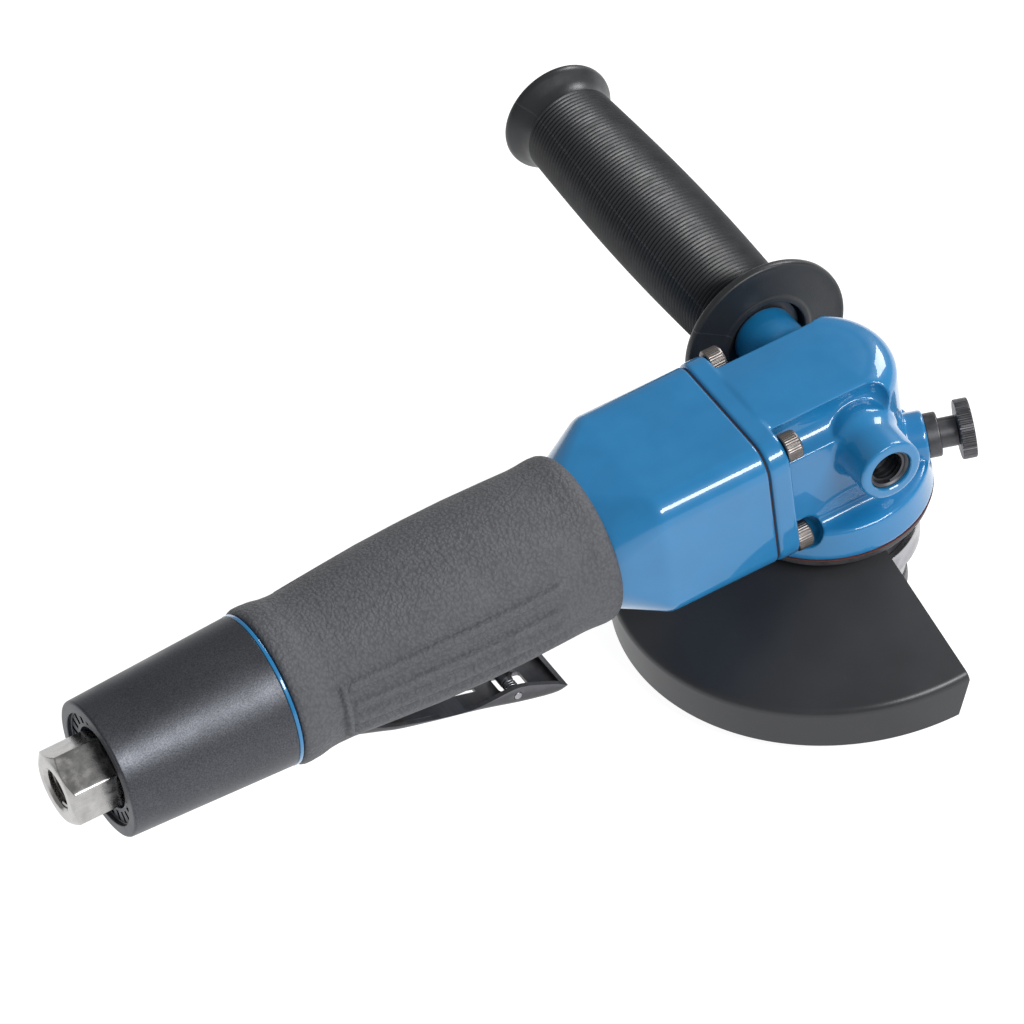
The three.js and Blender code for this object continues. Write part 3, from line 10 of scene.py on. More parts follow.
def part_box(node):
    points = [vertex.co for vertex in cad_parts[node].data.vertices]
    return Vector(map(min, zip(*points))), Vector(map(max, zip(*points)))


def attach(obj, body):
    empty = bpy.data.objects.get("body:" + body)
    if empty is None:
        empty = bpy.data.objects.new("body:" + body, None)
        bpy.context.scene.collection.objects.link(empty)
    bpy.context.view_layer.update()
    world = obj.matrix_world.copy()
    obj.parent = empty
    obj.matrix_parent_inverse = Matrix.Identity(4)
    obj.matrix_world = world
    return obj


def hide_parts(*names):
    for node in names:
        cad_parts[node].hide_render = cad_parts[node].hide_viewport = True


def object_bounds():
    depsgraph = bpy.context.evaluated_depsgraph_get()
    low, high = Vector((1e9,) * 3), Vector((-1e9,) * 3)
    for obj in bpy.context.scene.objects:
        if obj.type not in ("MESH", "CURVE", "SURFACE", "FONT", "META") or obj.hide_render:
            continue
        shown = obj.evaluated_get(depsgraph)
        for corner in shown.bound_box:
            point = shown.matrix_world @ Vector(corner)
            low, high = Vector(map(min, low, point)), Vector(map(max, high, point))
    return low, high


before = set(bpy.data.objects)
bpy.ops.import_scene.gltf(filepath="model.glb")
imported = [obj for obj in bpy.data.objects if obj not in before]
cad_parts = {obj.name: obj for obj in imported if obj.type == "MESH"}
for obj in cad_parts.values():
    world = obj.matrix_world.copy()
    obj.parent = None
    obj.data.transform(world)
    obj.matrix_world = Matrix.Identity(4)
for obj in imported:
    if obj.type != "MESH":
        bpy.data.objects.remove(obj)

bl_info = {
    "name": "Pneumatic angle grinder",
    "version": (1, 0, 0),
    "blender": (4, 5, 0),
    "location": "3D View > Sidebar > Grinder",
    "description": "Builds the finished surfaces of a pneumatic angle grinder round its packed solids",
    "category": "Add Mesh",
}


def at(x=0, y=0, z=0):
    return Matrix.Translation((x, y, z))


def about(axis, degrees):
    return Matrix.Rotation(math.radians(degrees), 4, axis)


# Shapes are worked out in millimetres from the point where the motor axis crosses the spindle axis.
# X runs along the body to the nose of the head, Y to the side handle and Z up the spindle.
# Turned shapes have a fine, medium or small count of sides, and their corners a keen, broken, soft
# or round edge.
MM = 0.001
CAD_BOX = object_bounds()
AXIS_HEIGHT = sum(corner.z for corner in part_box("inlet_bushing")) / 2
TO_FRAME = at(z=AXIS_HEIGHT) @ Matrix.Scale(MM, 4)
FINE, MEDIUM, SMALL, THREAD_SIDES = 160, 96, 48, 3
KEEN, BROKEN, SOFT, ROUND = 0.2, 0.3, 0.5, 0.8
OVERRUN = 2

ALONG_X = Matrix.Identity(4)
ALONG_Y = about("Z", 90)
ALONG_Z = about("Y", -90)
UPRIGHT_TO_X = about("Y", 90)
BOSS_PLACE, NEAR_BOSS_HEIGHT, FAR_BOSS_HEIGHT, FAR_BOSS_DROOP = 3, 4.9, 3.3, 2
LOCK_HEIGHT, LOCK_SWING = -15.75, 20
NEAR_BOSS = at(BOSS_PLACE, 0, NEAR_BOSS_HEIGHT) @ about("Z", -90)
FAR_BOSS = at(BOSS_PLACE, 0, FAR_BOSS_HEIGHT) @ about("X", -FAR_BOSS_DROOP) @ ALONG_Y
LOCK_AXIS = at(z=LOCK_HEIGHT) @ about("Z", -LOCK_SWING)
GUARD_TURN = about("Z", 2.4)
CLAMP_TURN = about("Z", 40)


def linear(red, green, blue):
    """A colour given as screen values from 0 to 255, made linear."""
    shares = [value / 255 for value in (red, green, blue)]
    straight = [v / 12.92 if v <= 0.04045 else ((v + 0.055) / 1.055) ** 2.4 for v in shares]
    return (*straight, 1.0)


def in_mm(length):
    return length / MM


def across_at(point):
    """Along Y, through a point (x, z) of the middle plane."""
    return at(point[0], 0, point[1]) @ ALONG_Y


def numbered(name, count):
    return [f"{name}_{i}" for i in range(1, count + 1)]


# Sizes and colours that a user may change

def length_of(label, text, default, **limits):
    return FloatProperty(name=label, description=text, default=default, unit="LENGTH", precision=5, **limits)


def count_of(label, text, default, least):
    return IntProperty(name=label, description=text, default=default, min=least)


def amount_of(label, text, default):
    return FloatProperty(name=label, description=text, default=default, min=0)


def colour_of(label, text, *screen):
    return FloatVectorProperty(
        name=label, description=text, default=linear(*screen), subtype="COLOR", size=4, min=0, max=1
    )


class InletSizes(bpy.types.PropertyGroup):
    across: length_of("Across flats", "Width of the hex over its flats", 0.021)
    chamfer: length_of("Chamfer", "Chamfer on the free end of the hex", 0.0014)
    thread_pitch: length_of("Thread pitch", "Pitch of the thread in the mouth", 0.00134)


class SleeveSizes(bpy.types.PropertyGroup):
    slot_count: count_of("Slots", "Exhaust slots in the rear face", 24, 3)
    slot_width: length_of("Slot width", "Width of an exhaust slot", 0.0016)
    edge: length_of("Edge", "Rounding of the rear edge", 0.0009)


class HousingSizes(bpy.types.PropertyGroup):
    top_corner: length_of("Top corner", "Rounding of the two upper edges", 0.008)
    bottom_corner: length_of("Bottom corner", "Rounding of the two lower edges", 0.006)
    crease: length_of("Crease", "How softly the taper meets the straight part", 0.0018)


class GripSizes(bpy.types.PropertyGroup):
    ridge_height: length_of("Ridge height", "How far the long ridges stand out", 0.0014)
    ridge_width: length_of("Ridge width", "Width of a long ridge at its foot", 0.0030)
    panel_rear: length_of("Panel rear", "Rear end of the ridges along the body", -0.168)
    panel_front: length_of("Panel front", "Front end of the ridges along the body", -0.096)


class HeadSizes(bpy.types.PropertyGroup):
    casting_grid: length_of("Casting grid", "Step of the grid that rounds the cast corners", 0.0005)
    softening: count_of("Softening", "Passes that soften the casting", 6, 0)
    root_fillet: length_of("Root fillet", "Fillet where the body meets its base", 0.003)


class ScrewSizes(bpy.types.PropertyGroup):
    head_radius: length_of("Head radius", "Radius of a flange screw's head", 0.00425)
    head_length: length_of("Head length", "Length of a flange screw's head", 0.005)
    socket: length_of("Socket", "Width of the hex socket over its flats", 0.004)


class LockSizes(bpy.types.PropertyGroup):
    knob_radius: length_of("Knob radius", "Radius of the knurled knob", 0.0087)
    groove_count: count_of("Grooves", "Straight knurl grooves on the knob", 40, 6)
    groove_depth: length_of("Groove depth", "Depth of a knurl groove", 0.0004)


class SpindleSizes(bpy.types.PropertyGroup):
    thread_pitch: length_of("Thread pitch", "Pitch of the spindle's thread", 0.002)
    nut_holes: count_of("Pin holes", "Spanner holes in the flange nut", 4, 2)


class GuardSizes(bpy.types.PropertyGroup):
    radius: length_of("Radius", "Outer radius of the guard", 0.0665)
    sheet: length_of("Sheet", "Thickness of the guard's sheet", 0.0019)
    bend: length_of("Bend", "Outer bend radius between plate and skirt", 0.003)


class HandleSizes(bpy.types.PropertyGroup):
    rib_count: count_of("Ribs", "Ribs along the side handle", 73, 4)
    rib_depth: length_of("Rib depth", "Depth of the grooves between the ribs", 0.0008)
    root_radius: length_of("Root radius", "Radius of the ribbed part at its collar", 0.0147)
    middle_radius: length_of("Middle radius", "Radius of the ribbed part at its middle", 0.016)
    neck_radius: length_of("Neck radius", "Radius of the ribbed part before its flare", 0.0143)


class LeverSizes(bpy.types.PropertyGroup):
    sheet: length_of("Sheet", "Thickness of the stamped sheet", 0.0016)
    bend: length_of("Bend", "Outer bend radius of the channel", 0.0026)


class SpringSizes(bpy.types.PropertyGroup):
    catch_wire: length_of("Catch spring wire", "Wire of the safety catch's spring", 0.0005)
    catch_turns: count_of("Catch spring turns", "Turns of the catch's spring", 4, 2)
    lock_wire: length_of("Lock spring wire", "Wire of the spindle lock's spring", 0.0006)
    lock_turns: count_of("Lock spring turns", "Turns of the lock's spring", 2, 1)


class FinishColours(bpy.types.PropertyGroup):
    paint: colour_of("Paint", "Blue enamel on the housing and head", 28, 114, 166)
    anodised: colour_of("Anodised", "Dark anodised aluminium of the exhaust sleeve", 78, 80, 85)
    grip: colour_of("Grip rubber", "Rubber of the body's grip", 82, 83, 87)
    handle: colour_of("Handle rubber", "Rubber of the side handle", 34, 36, 39)
    guard: colour_of("Guard", "Black powder coat of the guard", 51, 52, 55)
    blackened: colour_of("Blackened steel", "Oil-blackened small steel parts", 80, 80, 83)
    steel: colour_of("Bright steel", "Turned and ground steel", 168, 168, 172)
    screw: colour_of("Screw steel", "Steel of the socket screws", 124, 119, 116)
    gasket: colour_of("Gasket", "Red-brown gasket paper", 88, 42, 36)


class StageSettings(bpy.types.PropertyGroup):
    floor: colour_of("Floor", "Colour of the floor", 150, 150, 150)
    key: amount_of("Key light", "Power of the long panel on the near side", 42)
    fill: amount_of("Fill light", "Power of the panel beyond the nose", 25)
    surround: amount_of("Surround", "Brightness of the room", 0.32)
    glow: amount_of("Glow", "How strongly the floor glows round the tool", 0.93)


GROUPS = {
    "grinder_inlet": InletSizes, "grinder_sleeve": SleeveSizes, "grinder_housing": HousingSizes,
    "grinder_grip": GripSizes, "grinder_head": HeadSizes, "grinder_screws": ScrewSizes,
    "grinder_lock": LockSizes, "grinder_spindle": SpindleSizes, "grinder_guard": GuardSizes,
    "grinder_handle": HandleSizes, "grinder_lever": LeverSizes, "grinder_springs": SpringSizes,
    "grinder_finishes": FinishColours, "grinder_stage": StageSettings,
}


# Skins from rings of points, and turned shapes

def eased(profile, steps=4):
    """A profile of (place, radius) or (place, radius, rounding) with its corners rounded."""
    most_share, least_reach = 0.48, 1e-4
    count = len(profile)
    points = []
    for i, corner in enumerate(profile):
        here = np.array(corner[:2], float)
        size = corner[2] if len(corner) > 2 else 0
        before = np.array(profile[i - 1][:2], float) - here
        after = np.array(profile[(i + 1) % count][:2], float) - here
        reach = min(size, most_share * np.linalg.norm(before), most_share * np.linalg.norm(after))
        if reach < least_reach:
            points.append(tuple(here))
            continue
        start = here + before / np.linalg.norm(before) * reach
        end = here + after / np.linalg.norm(after) * reach
        for step in range(steps + 1):
            t = step / steps
            points.append(tuple((1 - t) ** 2 * start + 2 * t * (1 - t) * here + t ** 2 * end))
    return points


def round_ring(place, radius, count):
    turns = np.linspace(0, 2 * math.pi, count, endpoint=False)
    reach = radius(turns) if callable(radius) else np.full(count, radius)
    return np.column_stack((np.full(count, place), reach * np.cos(turns), reach * np.sin(turns)))


def skin(name, rings, around=False):
    """A closed skin over rings of equally many points, as a temporary object."""
    rows = len(rings)
    count = len(rings[0])
    points = np.concatenate(rings)
    faces = []
    for row in range(rows if around else rows - 1):
        here = row * count
        there = (row + 1) % rows * count
        for i in range(count):
            j = (i + 1) % count
            faces.append((here + i, here + j, there + j, there + i))
    if not around:
        faces.append(tuple(range(count))[::-1])
        faces.append(tuple(range((rows - 1) * count, rows * count)))
    return raw(name, points, faces)


def raw(name, points, faces):
    """An object of loose points and faces, made one clean outward skin."""
    mesh = bpy.data.meshes.new(name)
    mesh.from_pydata([tuple(point) for point in points], [], faces)
    shape = bmesh.new()
    shape.from_mesh(mesh)
    bmesh.ops.remove_doubles(shape, verts=shape.verts, dist=1e-4)
    bmesh.ops.dissolve_degenerate(shape, edges=shape.edges, dist=1e-5)
    bmesh.ops.recalc_face_normals(shape, faces=shape.faces)
    shape.to_mesh(mesh)
    shape.free()
    found = bpy.data.objects.new(name, mesh)
    bpy.context.scene.collection.objects.link(found)
    return found


def turned(name, profile, count=FINE, around=False, place=ALONG_X):
    """A turned shape; its profile closes on the axis, or on itself where it goes around a bore."""
    rings = [round_ring(along, radius, count) for along, radius in eased(profile)]
    found = skin(name, rings, around)
    found.data.transform(place)
    return found


def rod(name, start, end, radius, count=SMALL, place=ALONG_X):
    """A plain round bar, mostly to cut a hole."""
    return turned(name, [(start, 0), (start, radius), (end, radius), (end, 0)], count, place=place)


def block(name, x0, x1, y0, y1, z0, z1, place=ALONG_X):
    low, high = (x0, y0, z0), (x1, y1, z1)
    points = [(p[0][0], p[1][1], p[2][2]) for p in (
        (low, low, low), (high, low, low), (high, high, low), (low, high, low),
        (low, low, high), (high, low, high), (high, high, high), (low, high, high),
    )]
    faces = [(0, 3, 2, 1), (4, 5, 6, 7), (0, 1, 5, 4), (1, 2, 6, 5), (2, 3, 7, 6), (3, 0, 4, 7)]
    found = raw(name, points, faces)
    found.data.transform(place)
    return found


def slab(name, outline, y0, y1):
    """An outline of (x, z) pairs, as thick as the span from y0 to y1."""
    rings = [np.array([(x, y, z) for x, z in outline], float) for y in (y0, y1)]
    return skin(name, rings)


# Working on temporary objects

def baked(found):
    """Turns what the modifiers make into the object's plain mesh."""
    graph = bpy.context.evaluated_depsgraph_get()
    mesh = bpy.data.meshes.new_from_object(found.evaluated_get(graph))
    found.modifiers.clear()
    found.data = mesh
    return found


def discard(*objects):
    for found in objects:
        bpy.data.objects.remove(found)


def carved(base, operation, others):
    for other in others:
        step = base.modifiers.new("carve", "BOOLEAN")
        step.operation = operation
        step.solver = "MANIFOLD"
        step.object = other
    baked(base)
    discard(*others)
    if not base.data.polygons:
        raise RuntimeError(f"{base.name} came out empty")
    return base


def cut(base, *others):
    return carved(base, "DIFFERENCE", others)


def joined(base, *others):
    return carved(base, "UNION", others)


def common(base, other):
    return carved(base, "INTERSECT", [other])


def bevelled(found, width, angle=40, segments=3):
    step = found.modifiers.new("bevel", "BEVEL")
    step.width = width
    step.segments = segments
    step.limit_method = "ANGLE"
    step.angle_limit = math.radians(angle)
    step.use_clamp_overlap = True
    return baked(found)


def together(first, *others):
    """Puts the shells of several objects into one mesh, as they are."""
    shape = bmesh.new()
    for found in (first, *others):
        shape.from_mesh(found.data)
    shape.to_mesh(first.data)
    shape.free()
    discard(*others)


def finished(found, name, body, nodes, slot, look=None, sharp=32, flat_first=True):
    """Gives a shape its name, place, body and finish, and lets it stand for its CAD nodes."""
    found.name = name
    found.data.name = name
    found.data.transform(TO_FRAME)
    found.data.materials.clear()
    found.data.materials.append(finish(look or slot))
    found.data.shade_smooth()
    found.data.set_sharp_from_angle(angle=math.radians(sharp))
    if flat_first:
        step = found.modifiers.new("normals", "WEIGHTED_NORMAL")
        step.keep_sharp = True
        step.weight = 100
        baked(found)
    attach(found, body)
    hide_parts(*nodes)


# Geometry Nodes trees for what repeats or follows a path

def new_tree(name, inputs):
    tree = bpy.data.node_groups.new(name, "GeometryNodeTree")
    tree.interface.new_socket(name="Geometry", in_out="OUTPUT", socket_type="NodeSocketGeometry")
    for label, kind, default in inputs:
        socket = tree.interface.new_socket(name=label, in_out="INPUT", socket_type=kind)
        if default is not None:
            socket.default_value = default
    return tree, tree.nodes.new("NodeGroupInput"), tree.nodes.new("NodeGroupOutput")


def node(tree, kind, wires=None, **settings):
    """Adds a node, its settings, and what feeds its inputs: a socket or a plain value."""
    found = tree.nodes.new(kind)
    for setting, value in settings.items():
        setattr(found, setting, value)
    for key, value in (wires or {}).items():
        if isinstance(value, bpy.types.NodeSocket):
            tree.links.new(value, found.inputs[key])
        else:
            found.inputs[key].default_value = value
    return found


def sum_of(tree, operation, first, second=None, third=None):
    wires = {i: value for i, value in enumerate((first, second, third)) if value is not None}
    return node(tree, "ShaderNodeMath", wires, operation=operation).outputs[0]


def close_tree(tree, output, geometry, material):
    real = node(tree, "GeometryNodeRealizeInstances", {"Geometry": geometry}).outputs["Geometry"]
    dressed = node(tree, "GeometryNodeSetMaterial", {"Geometry": real, "Material": material})
    tree.links.new(dressed.outputs["Geometry"], output.inputs["Geometry"])


def copies_round_axis_tree():
    tree, given, output = new_tree("Copies round an axis", [
        ("Copy", "NodeSocketObject", None), ("Count", "NodeSocketInt", 12),
        ("Phase", "NodeSocketFloat", 0.0), ("Finish", "NodeSocketMaterial", None),
    ])
    points = node(tree, "GeometryNodePoints", {"Count": given.outputs["Count"]})
    share = sum_of(tree, "DIVIDE", node(tree, "GeometryNodeInputIndex").outputs[0], given.outputs["Count"])
    turn = sum_of(tree, "MULTIPLY_ADD", share, 2 * math.pi, given.outputs["Phase"])
    euler = node(tree, "ShaderNodeCombineXYZ", {"X": turn})
    rotation = node(tree, "FunctionNodeEulerToRotation", {"Euler": euler.outputs[0]})
    copy = node(tree, "GeometryNodeObjectInfo", {"Object": given.outputs["Copy"], "As Instance": True})
    copies = node(tree, "GeometryNodeInstanceOnPoints", {
        "Points": points.outputs[0], "Instance": copy.outputs["Geometry"], "Rotation": rotation.outputs[0],
    })
    close_tree(tree, output, copies.outputs[0], given.outputs["Finish"])
    return tree


def copies_at_places_tree():
    tree, given, output = new_tree("Copies at places", [
        ("Copy", "NodeSocketObject", None), ("Places", "NodeSocketObject", None),
        ("Finish", "NodeSocketMaterial", None),
    ])
    places = node(tree, "GeometryNodeObjectInfo", {"Object": given.outputs["Places"], "As Instance": False})
    copy = node(tree, "GeometryNodeObjectInfo", {"Object": given.outputs["Copy"], "As Instance": True})
    copies = node(tree, "GeometryNodeInstanceOnPoints", {
        "Points": places.outputs["Geometry"], "Instance": copy.outputs["Geometry"],
    })
    close_tree(tree, output, copies.outputs[0], given.outputs["Finish"])
    return tree


def wound_tree():
    """A wire or thread wound along Z, from the origin upwards."""
    tree, given, output = new_tree("Wound wire", [
        ("Radius", "NodeSocketFloat", 3.0), ("Length", "NodeSocketFloat", 8.0),
        ("Turns", "NodeSocketFloat", 4.0), ("Wire", "NodeSocketFloat", 0.35), ("Sides", "NodeSocketInt", 12),
        ("Steps", "NodeSocketInt", 40), ("Finish", "NodeSocketMaterial", None),
    ])
    path = node(tree, "GeometryNodeCurveSpiral", {
        "Resolution": given.outputs["Steps"], "Rotations": given.outputs["Turns"],
        "Start Radius": given.outputs["Radius"], "End Radius": given.outputs["Radius"],
        "Height": given.outputs["Length"],
    })
    section = node(tree, "GeometryNodeCurvePrimitiveCircle", {
        "Resolution": given.outputs["Sides"], "Radius": given.outputs["Wire"],
    })
    tube = node(tree, "GeometryNodeCurveToMesh", {
        "Curve": path.outputs[0], "Profile Curve": section.outputs[0], "Fill Caps": True,
    })
    close_tree(tree, output, tube.outputs[0], given.outputs["Finish"])
    return tree


def ribbed_tree():
    """A round bar along Z whose radius swells at the middle and dips between its ribs."""
    tree, given, output = new_tree("Ribbed bar", [
        ("Length", "NodeSocketFloat", 100.0), ("Root", "NodeSocketFloat", 14.0),
        ("Middle", "NodeSocketFloat", 16.0), ("Neck", "NodeSocketFloat", 14.0),
        ("Ribs", "NodeSocketInt", 40), ("Depth", "NodeSocketFloat", 0.8), ("Steps", "NodeSocketInt", 8),
        ("Segments", "NodeSocketInt", 128), ("Finish", "NodeSocketMaterial", None),
    ])
    get = given.outputs
    rows = sum_of(tree, "MULTIPLY", get["Ribs"], get["Steps"])
    bar = node(tree, "GeometryNodeMeshCylinder", {
        "Vertices": get["Segments"], "Side Segments": rows, "Fill Segments": 1, "Radius": 1.0,
        "Depth": get["Length"],
    })
    position = node(tree, "GeometryNodeInputPosition").outputs[0]
    axes = node(tree, "ShaderNodeSeparateXYZ", {0: position}).outputs
    share = sum_of(tree, "ADD", sum_of(tree, "DIVIDE", axes[2], get["Length"]), 0.5)
    span = sum_of(tree, "SUBTRACT", get["Neck"], get["Root"])
    straight = sum_of(tree, "MULTIPLY_ADD", share, span, get["Root"])
    mean = sum_of(tree, "MULTIPLY", sum_of(tree, "ADD", get["Root"], get["Neck"]), 0.5)
    swell = sum_of(tree, "SUBTRACT", get["Middle"], mean)
    bulge = sum_of(tree, "SINE", sum_of(tree, "MULTIPLY", share, math.pi))
    outer = sum_of(tree, "MULTIPLY_ADD", swell, bulge, straight)
    rib = sum_of(tree, "MULTIPLY", share, get["Ribs"])
    wave = sum_of(tree, "SINE", sum_of(tree, "MULTIPLY", rib, math.pi))
    crest = sum_of(tree, "POWER", sum_of(tree, "ABSOLUTE", wave), 1.5)
    dip = sum_of(tree, "MULTIPLY", get["Depth"], sum_of(tree, "SUBTRACT", 1.0, crest))
    radius = sum_of(tree, "SUBTRACT", outer, dip)
    place = node(tree, "ShaderNodeCombineXYZ", {
        "X": sum_of(tree, "MULTIPLY", axes[0], radius), "Y": sum_of(tree, "MULTIPLY", axes[1], radius),
        "Z": sum_of(tree, "ADD", axes[2], sum_of(tree, "MULTIPLY", get["Length"], 0.5)),
    })
    formed = node(tree, "GeometryNodeSetPosition", {
        "Geometry": bar.outputs[0], "Position": place.outputs[0],
    })
    close_tree(tree, output, formed.outputs[0], get["Finish"])
    return tree


def from_tree(name, tree, values):
    """Runs a tree on an empty object and keeps what it makes as a plain mesh."""
    found = bpy.data.objects.new(name, bpy.data.meshes.new(name))
    bpy.context.scene.collection.objects.link(found)
    step = found.modifiers.new("tree", "NODES")
    step.node_group = tree
    for socket in tree.interface.items_tree:
        if socket.in_out == "INPUT" and socket.name in values:
            step[socket.identifier] = values[socket.name]
    return baked(found)


def tree_named(name, make):
    return bpy.data.node_groups.get(name) or make()


def round_axis(name, copy, count, finish, phase=0.0):
    tree = tree_named("Copies round an axis", copies_round_axis_tree)
    found = from_tree(name, tree, {"Copy": copy, "Count": count, "Phase": phase, "Finish": finish})
    discard(copy)
    return found


def at_places(name, copy, points, finish):
    places = bpy.data.objects.new("places", bpy.data.meshes.new("places"))
    places.data.from_pydata(points, [], [])
    bpy.context.scene.collection.objects.link(places)
    tree = tree_named("Copies at places", copies_at_places_tree)
    found = from_tree(name, tree, {"Copy": copy, "Places": places, "Finish": finish})
    discard(copy, places)
    return found


def wound(name, radius, length, turns, wire, finish, sides=12, place=ALONG_X):
    tree = tree_named("Wound wire", wound_tree)
    found = from_tree(name, tree, {
        "Radius": radius, "Length": length, "Turns": float(turns), "Wire": wire, "Sides": sides,
        "Finish": finish,
    })
    found.data.transform(place)
    return found


# Finishes

class Finish:
    """A material in the making. Patterns are laid out in the object's own coordinates, in metres."""

    def __init__(self, name, colour, roughness, metallic=0.0):
        self.material = bpy.data.materials.new(name)
        self.material.use_nodes = True
        self.tree = self.material.node_tree
        self.shader = next(n for n in self.tree.nodes if n.type == "BSDF_PRINCIPLED")
        self.material.diffuse_color = colour
        self.set("Base Color", colour)
        self.set("Roughness", roughness)
        self.set("Metallic", metallic)
        self.place = self.tree.nodes.new("ShaderNodeTexCoord").outputs["Object"]
        self.normal = None

    def set(self, socket, value):
        self.shader.inputs[socket].default_value = value

    def stretched(self, *scale):
        return node(self.tree, "ShaderNodeMapping", {"Vector": self.place, "Scale": scale}).outputs[0]

    def noise(self, size, detail=2.0, distortion=0.0, place=None):
        found = node(self.tree, "ShaderNodeTexNoise", {
            "Vector": place or self.place, "Scale": 1 / size, "Detail": detail, "Distortion": distortion,
        })
        return found.outputs[0]

    def cells(self, size, feature="F1", place=None, smooth=0.6):
        wires = {"Vector": place or self.place, "Scale": 1 / size}
        if feature == "SMOOTH_F1":
            wires["Smoothness"] = smooth
        found = node(self.tree, "ShaderNodeTexVoronoi", wires, feature=feature)
        return found.outputs["Distance"]

    def fitted(self, value, low, high, to_low=0.0, to_high=1.0):
        found = node(self.tree, "ShaderNodeMapRange", {
            "Value": value, "From Min": low, "From Max": high, "To Min": to_low, "To Max": to_high,
        })
        return found.outputs[0]

    def blended(self, factor, first, second):
        found = node(self.tree, "ShaderNodeMix", data_type="RGBA")
        self.tree.links.new(factor, found.inputs[0])
        for key, value in ((6, first), (7, second)):
            if isinstance(value, bpy.types.NodeSocket):
                self.tree.links.new(value, found.inputs[key])
            else:
                found.inputs[key].default_value = value
        return found.outputs[2]

    def feed(self, socket, value):
        self.tree.links.new(value, self.shader.inputs[socket])

    def raised(self, height, depth, strength=1.0):
        """Adds relief; depth is how far the pattern stands out, in metres."""
        wires = {"Height": height, "Distance": depth, "Strength": strength}
        if self.normal:
            wires["Normal"] = self.normal
        self.normal = node(self.tree, "ShaderNodeBump", wires).outputs[0]
        self.feed("Normal", self.normal)

    def edges(self, low=0.52, high=0.6):
        """Where corners stand out and wear first."""
        found = node(self.tree, "ShaderNodeNewGeometry").outputs["Pointiness"]
        return self.fitted(found, low, high)


def shade(colour, factor):
    return tuple(min(1, channel * factor) for channel in colour[:3]) + (1.0,)


def blue_enamel(colour):
    """Glossy enamel over a casting: faint mottling and orange peel under a clear coat."""
    made = Finish("blue_enamel", colour, 0.3)
    mottle = made.fitted(made.noise(0.012, 4.0), 0.35, 0.65)
    made.feed("Base Color", made.blended(mottle, shade(colour, 0.96), shade(colour, 1.04)))
    made.feed("Roughness", made.fitted(made.noise(0.006, 3.0), 0.3, 0.7, 0.28, 0.38))
    made.set("Specular IOR Level", 0.25)
    made.set("Coat Weight", 1.0)
    made.set("Coat Roughness", 0.03)
    made.set("Coat IOR", 1.45)
    made.raised(made.noise(0.0026, 1.0), 0.00003, 0.22)
    return made.material


def dark_anodised(colour):
    """Bead-blasted and anodised aluminium: fine bright specks on a satin ground."""
    made = Finish("dark_anodised", colour, 0.42, 0.85)
    grain = made.fitted(made.noise(0.00042, 3.0), 0.34, 0.68)
    cloud = made.fitted(made.noise(0.016, 3.0), 0.3, 0.7)
    base = made.blended(grain, shade(colour, 0.72), shade(colour, 1.3))
    worn = made.blended(made.edges(0.54, 0.66), base, shade(colour, 1.7))
    made.feed("Base Color", worn)
    made.feed("Roughness", made.fitted(cloud, 0.0, 1.0, 0.38, 0.5))
    made.raised(made.noise(0.0005, 3.0), 0.00006, 0.5)
    return made.material


def leather_grain(made, size, depth, strength):
    """Wrinkled grain as moulded into soft rubber."""
    drift = node(made.tree, "ShaderNodeTexNoise", {
        "Vector": made.place, "Scale": 1 / (size * 2.2), "Detail": 2.0,
    })
    offset = node(made.tree, "ShaderNodeVectorMath", {
        0: drift.outputs["Color"], "Scale": size * 1.6,
    }, operation="SCALE")
    moved = node(made.tree, "ShaderNodeVectorMath", {0: made.place, 1: offset.outputs[0]}, operation="ADD")
    cells = made.cells(size, "SMOOTH_F1", moved.outputs[0], 0.35)
    pores = made.noise(size * 0.3, 2.0)
    height = sum_of(made.tree, "MULTIPLY_ADD", pores, 0.25, sum_of(made.tree, "MULTIPLY", cells, -1.0))
    made.raised(height, depth, strength)
    return cells


def grip_rubber(colour):
    """Soft rubber with leather grain, with painted shade in the grain's crevices, its crests painted
    lighter, and lighter dusty patches at random.
    """
    made = Finish("grip_rubber", colour, 0.68)
    cells = leather_grain(made, 0.001, 0.0004, 0.7)
    # Painted shade: the grain's crevices are darker and its crests lighter.
    crevice_shade = made.fitted(cells, 0.3, 0.7)
    worn = made.fitted(made.noise(0.022, 4.0), 0.35, 0.9, 0.0, 0.5)
    base = made.blended(crevice_shade, shade(colour, 1.12), shade(colour, 0.8))
    made.feed("Base Color", made.blended(worn, base, shade(colour, 1.12)))
    made.feed("Roughness", made.fitted(made.noise(0.009, 3.0), 0.3, 0.7, 0.6, 0.76))
    made.set("Specular IOR Level", 0.45)
    return made.material


def handle_rubber(colour):
    """Hard moulded rubber with a fine parting line along the handle."""
    made = Finish("handle_rubber", colour, 0.5)
    bloom = made.fitted(made.noise(0.018, 3.0), 0.3, 0.7)
    base = made.blended(bloom, shade(colour, 0.86), shade(colour, 1.16))
    lean, seam_place, seam_rise = math.radians(35), 0.003, 0.0015
    aim = node(made.tree, "ShaderNodeVectorMath", {
        0: made.place, 1: (math.sin(lean), 0.0, math.cos(lean)),
    }, operation="DOT_PRODUCT").outputs["Value"]
    middle = seam_place * math.sin(lean) + (AXIS_HEIGHT + seam_rise) * math.cos(lean)
    away = sum_of(made.tree, "ABSOLUTE", sum_of(made.tree, "SUBTRACT", aim, middle))
    line = made.fitted(away, 0.00008, 0.00028, 1.0, 0.0)
    made.feed("Base Color", made.blended(line, base, shade(colour, 1.5)))
    made.feed("Roughness", made.fitted(made.noise(0.004, 3.0), 0.3, 0.7, 0.34, 0.46))
    made.raised(made.noise(0.0006, 2.0), 0.00008, 0.35)
    made.raised(line, 0.00012, 0.5)
    return made.material


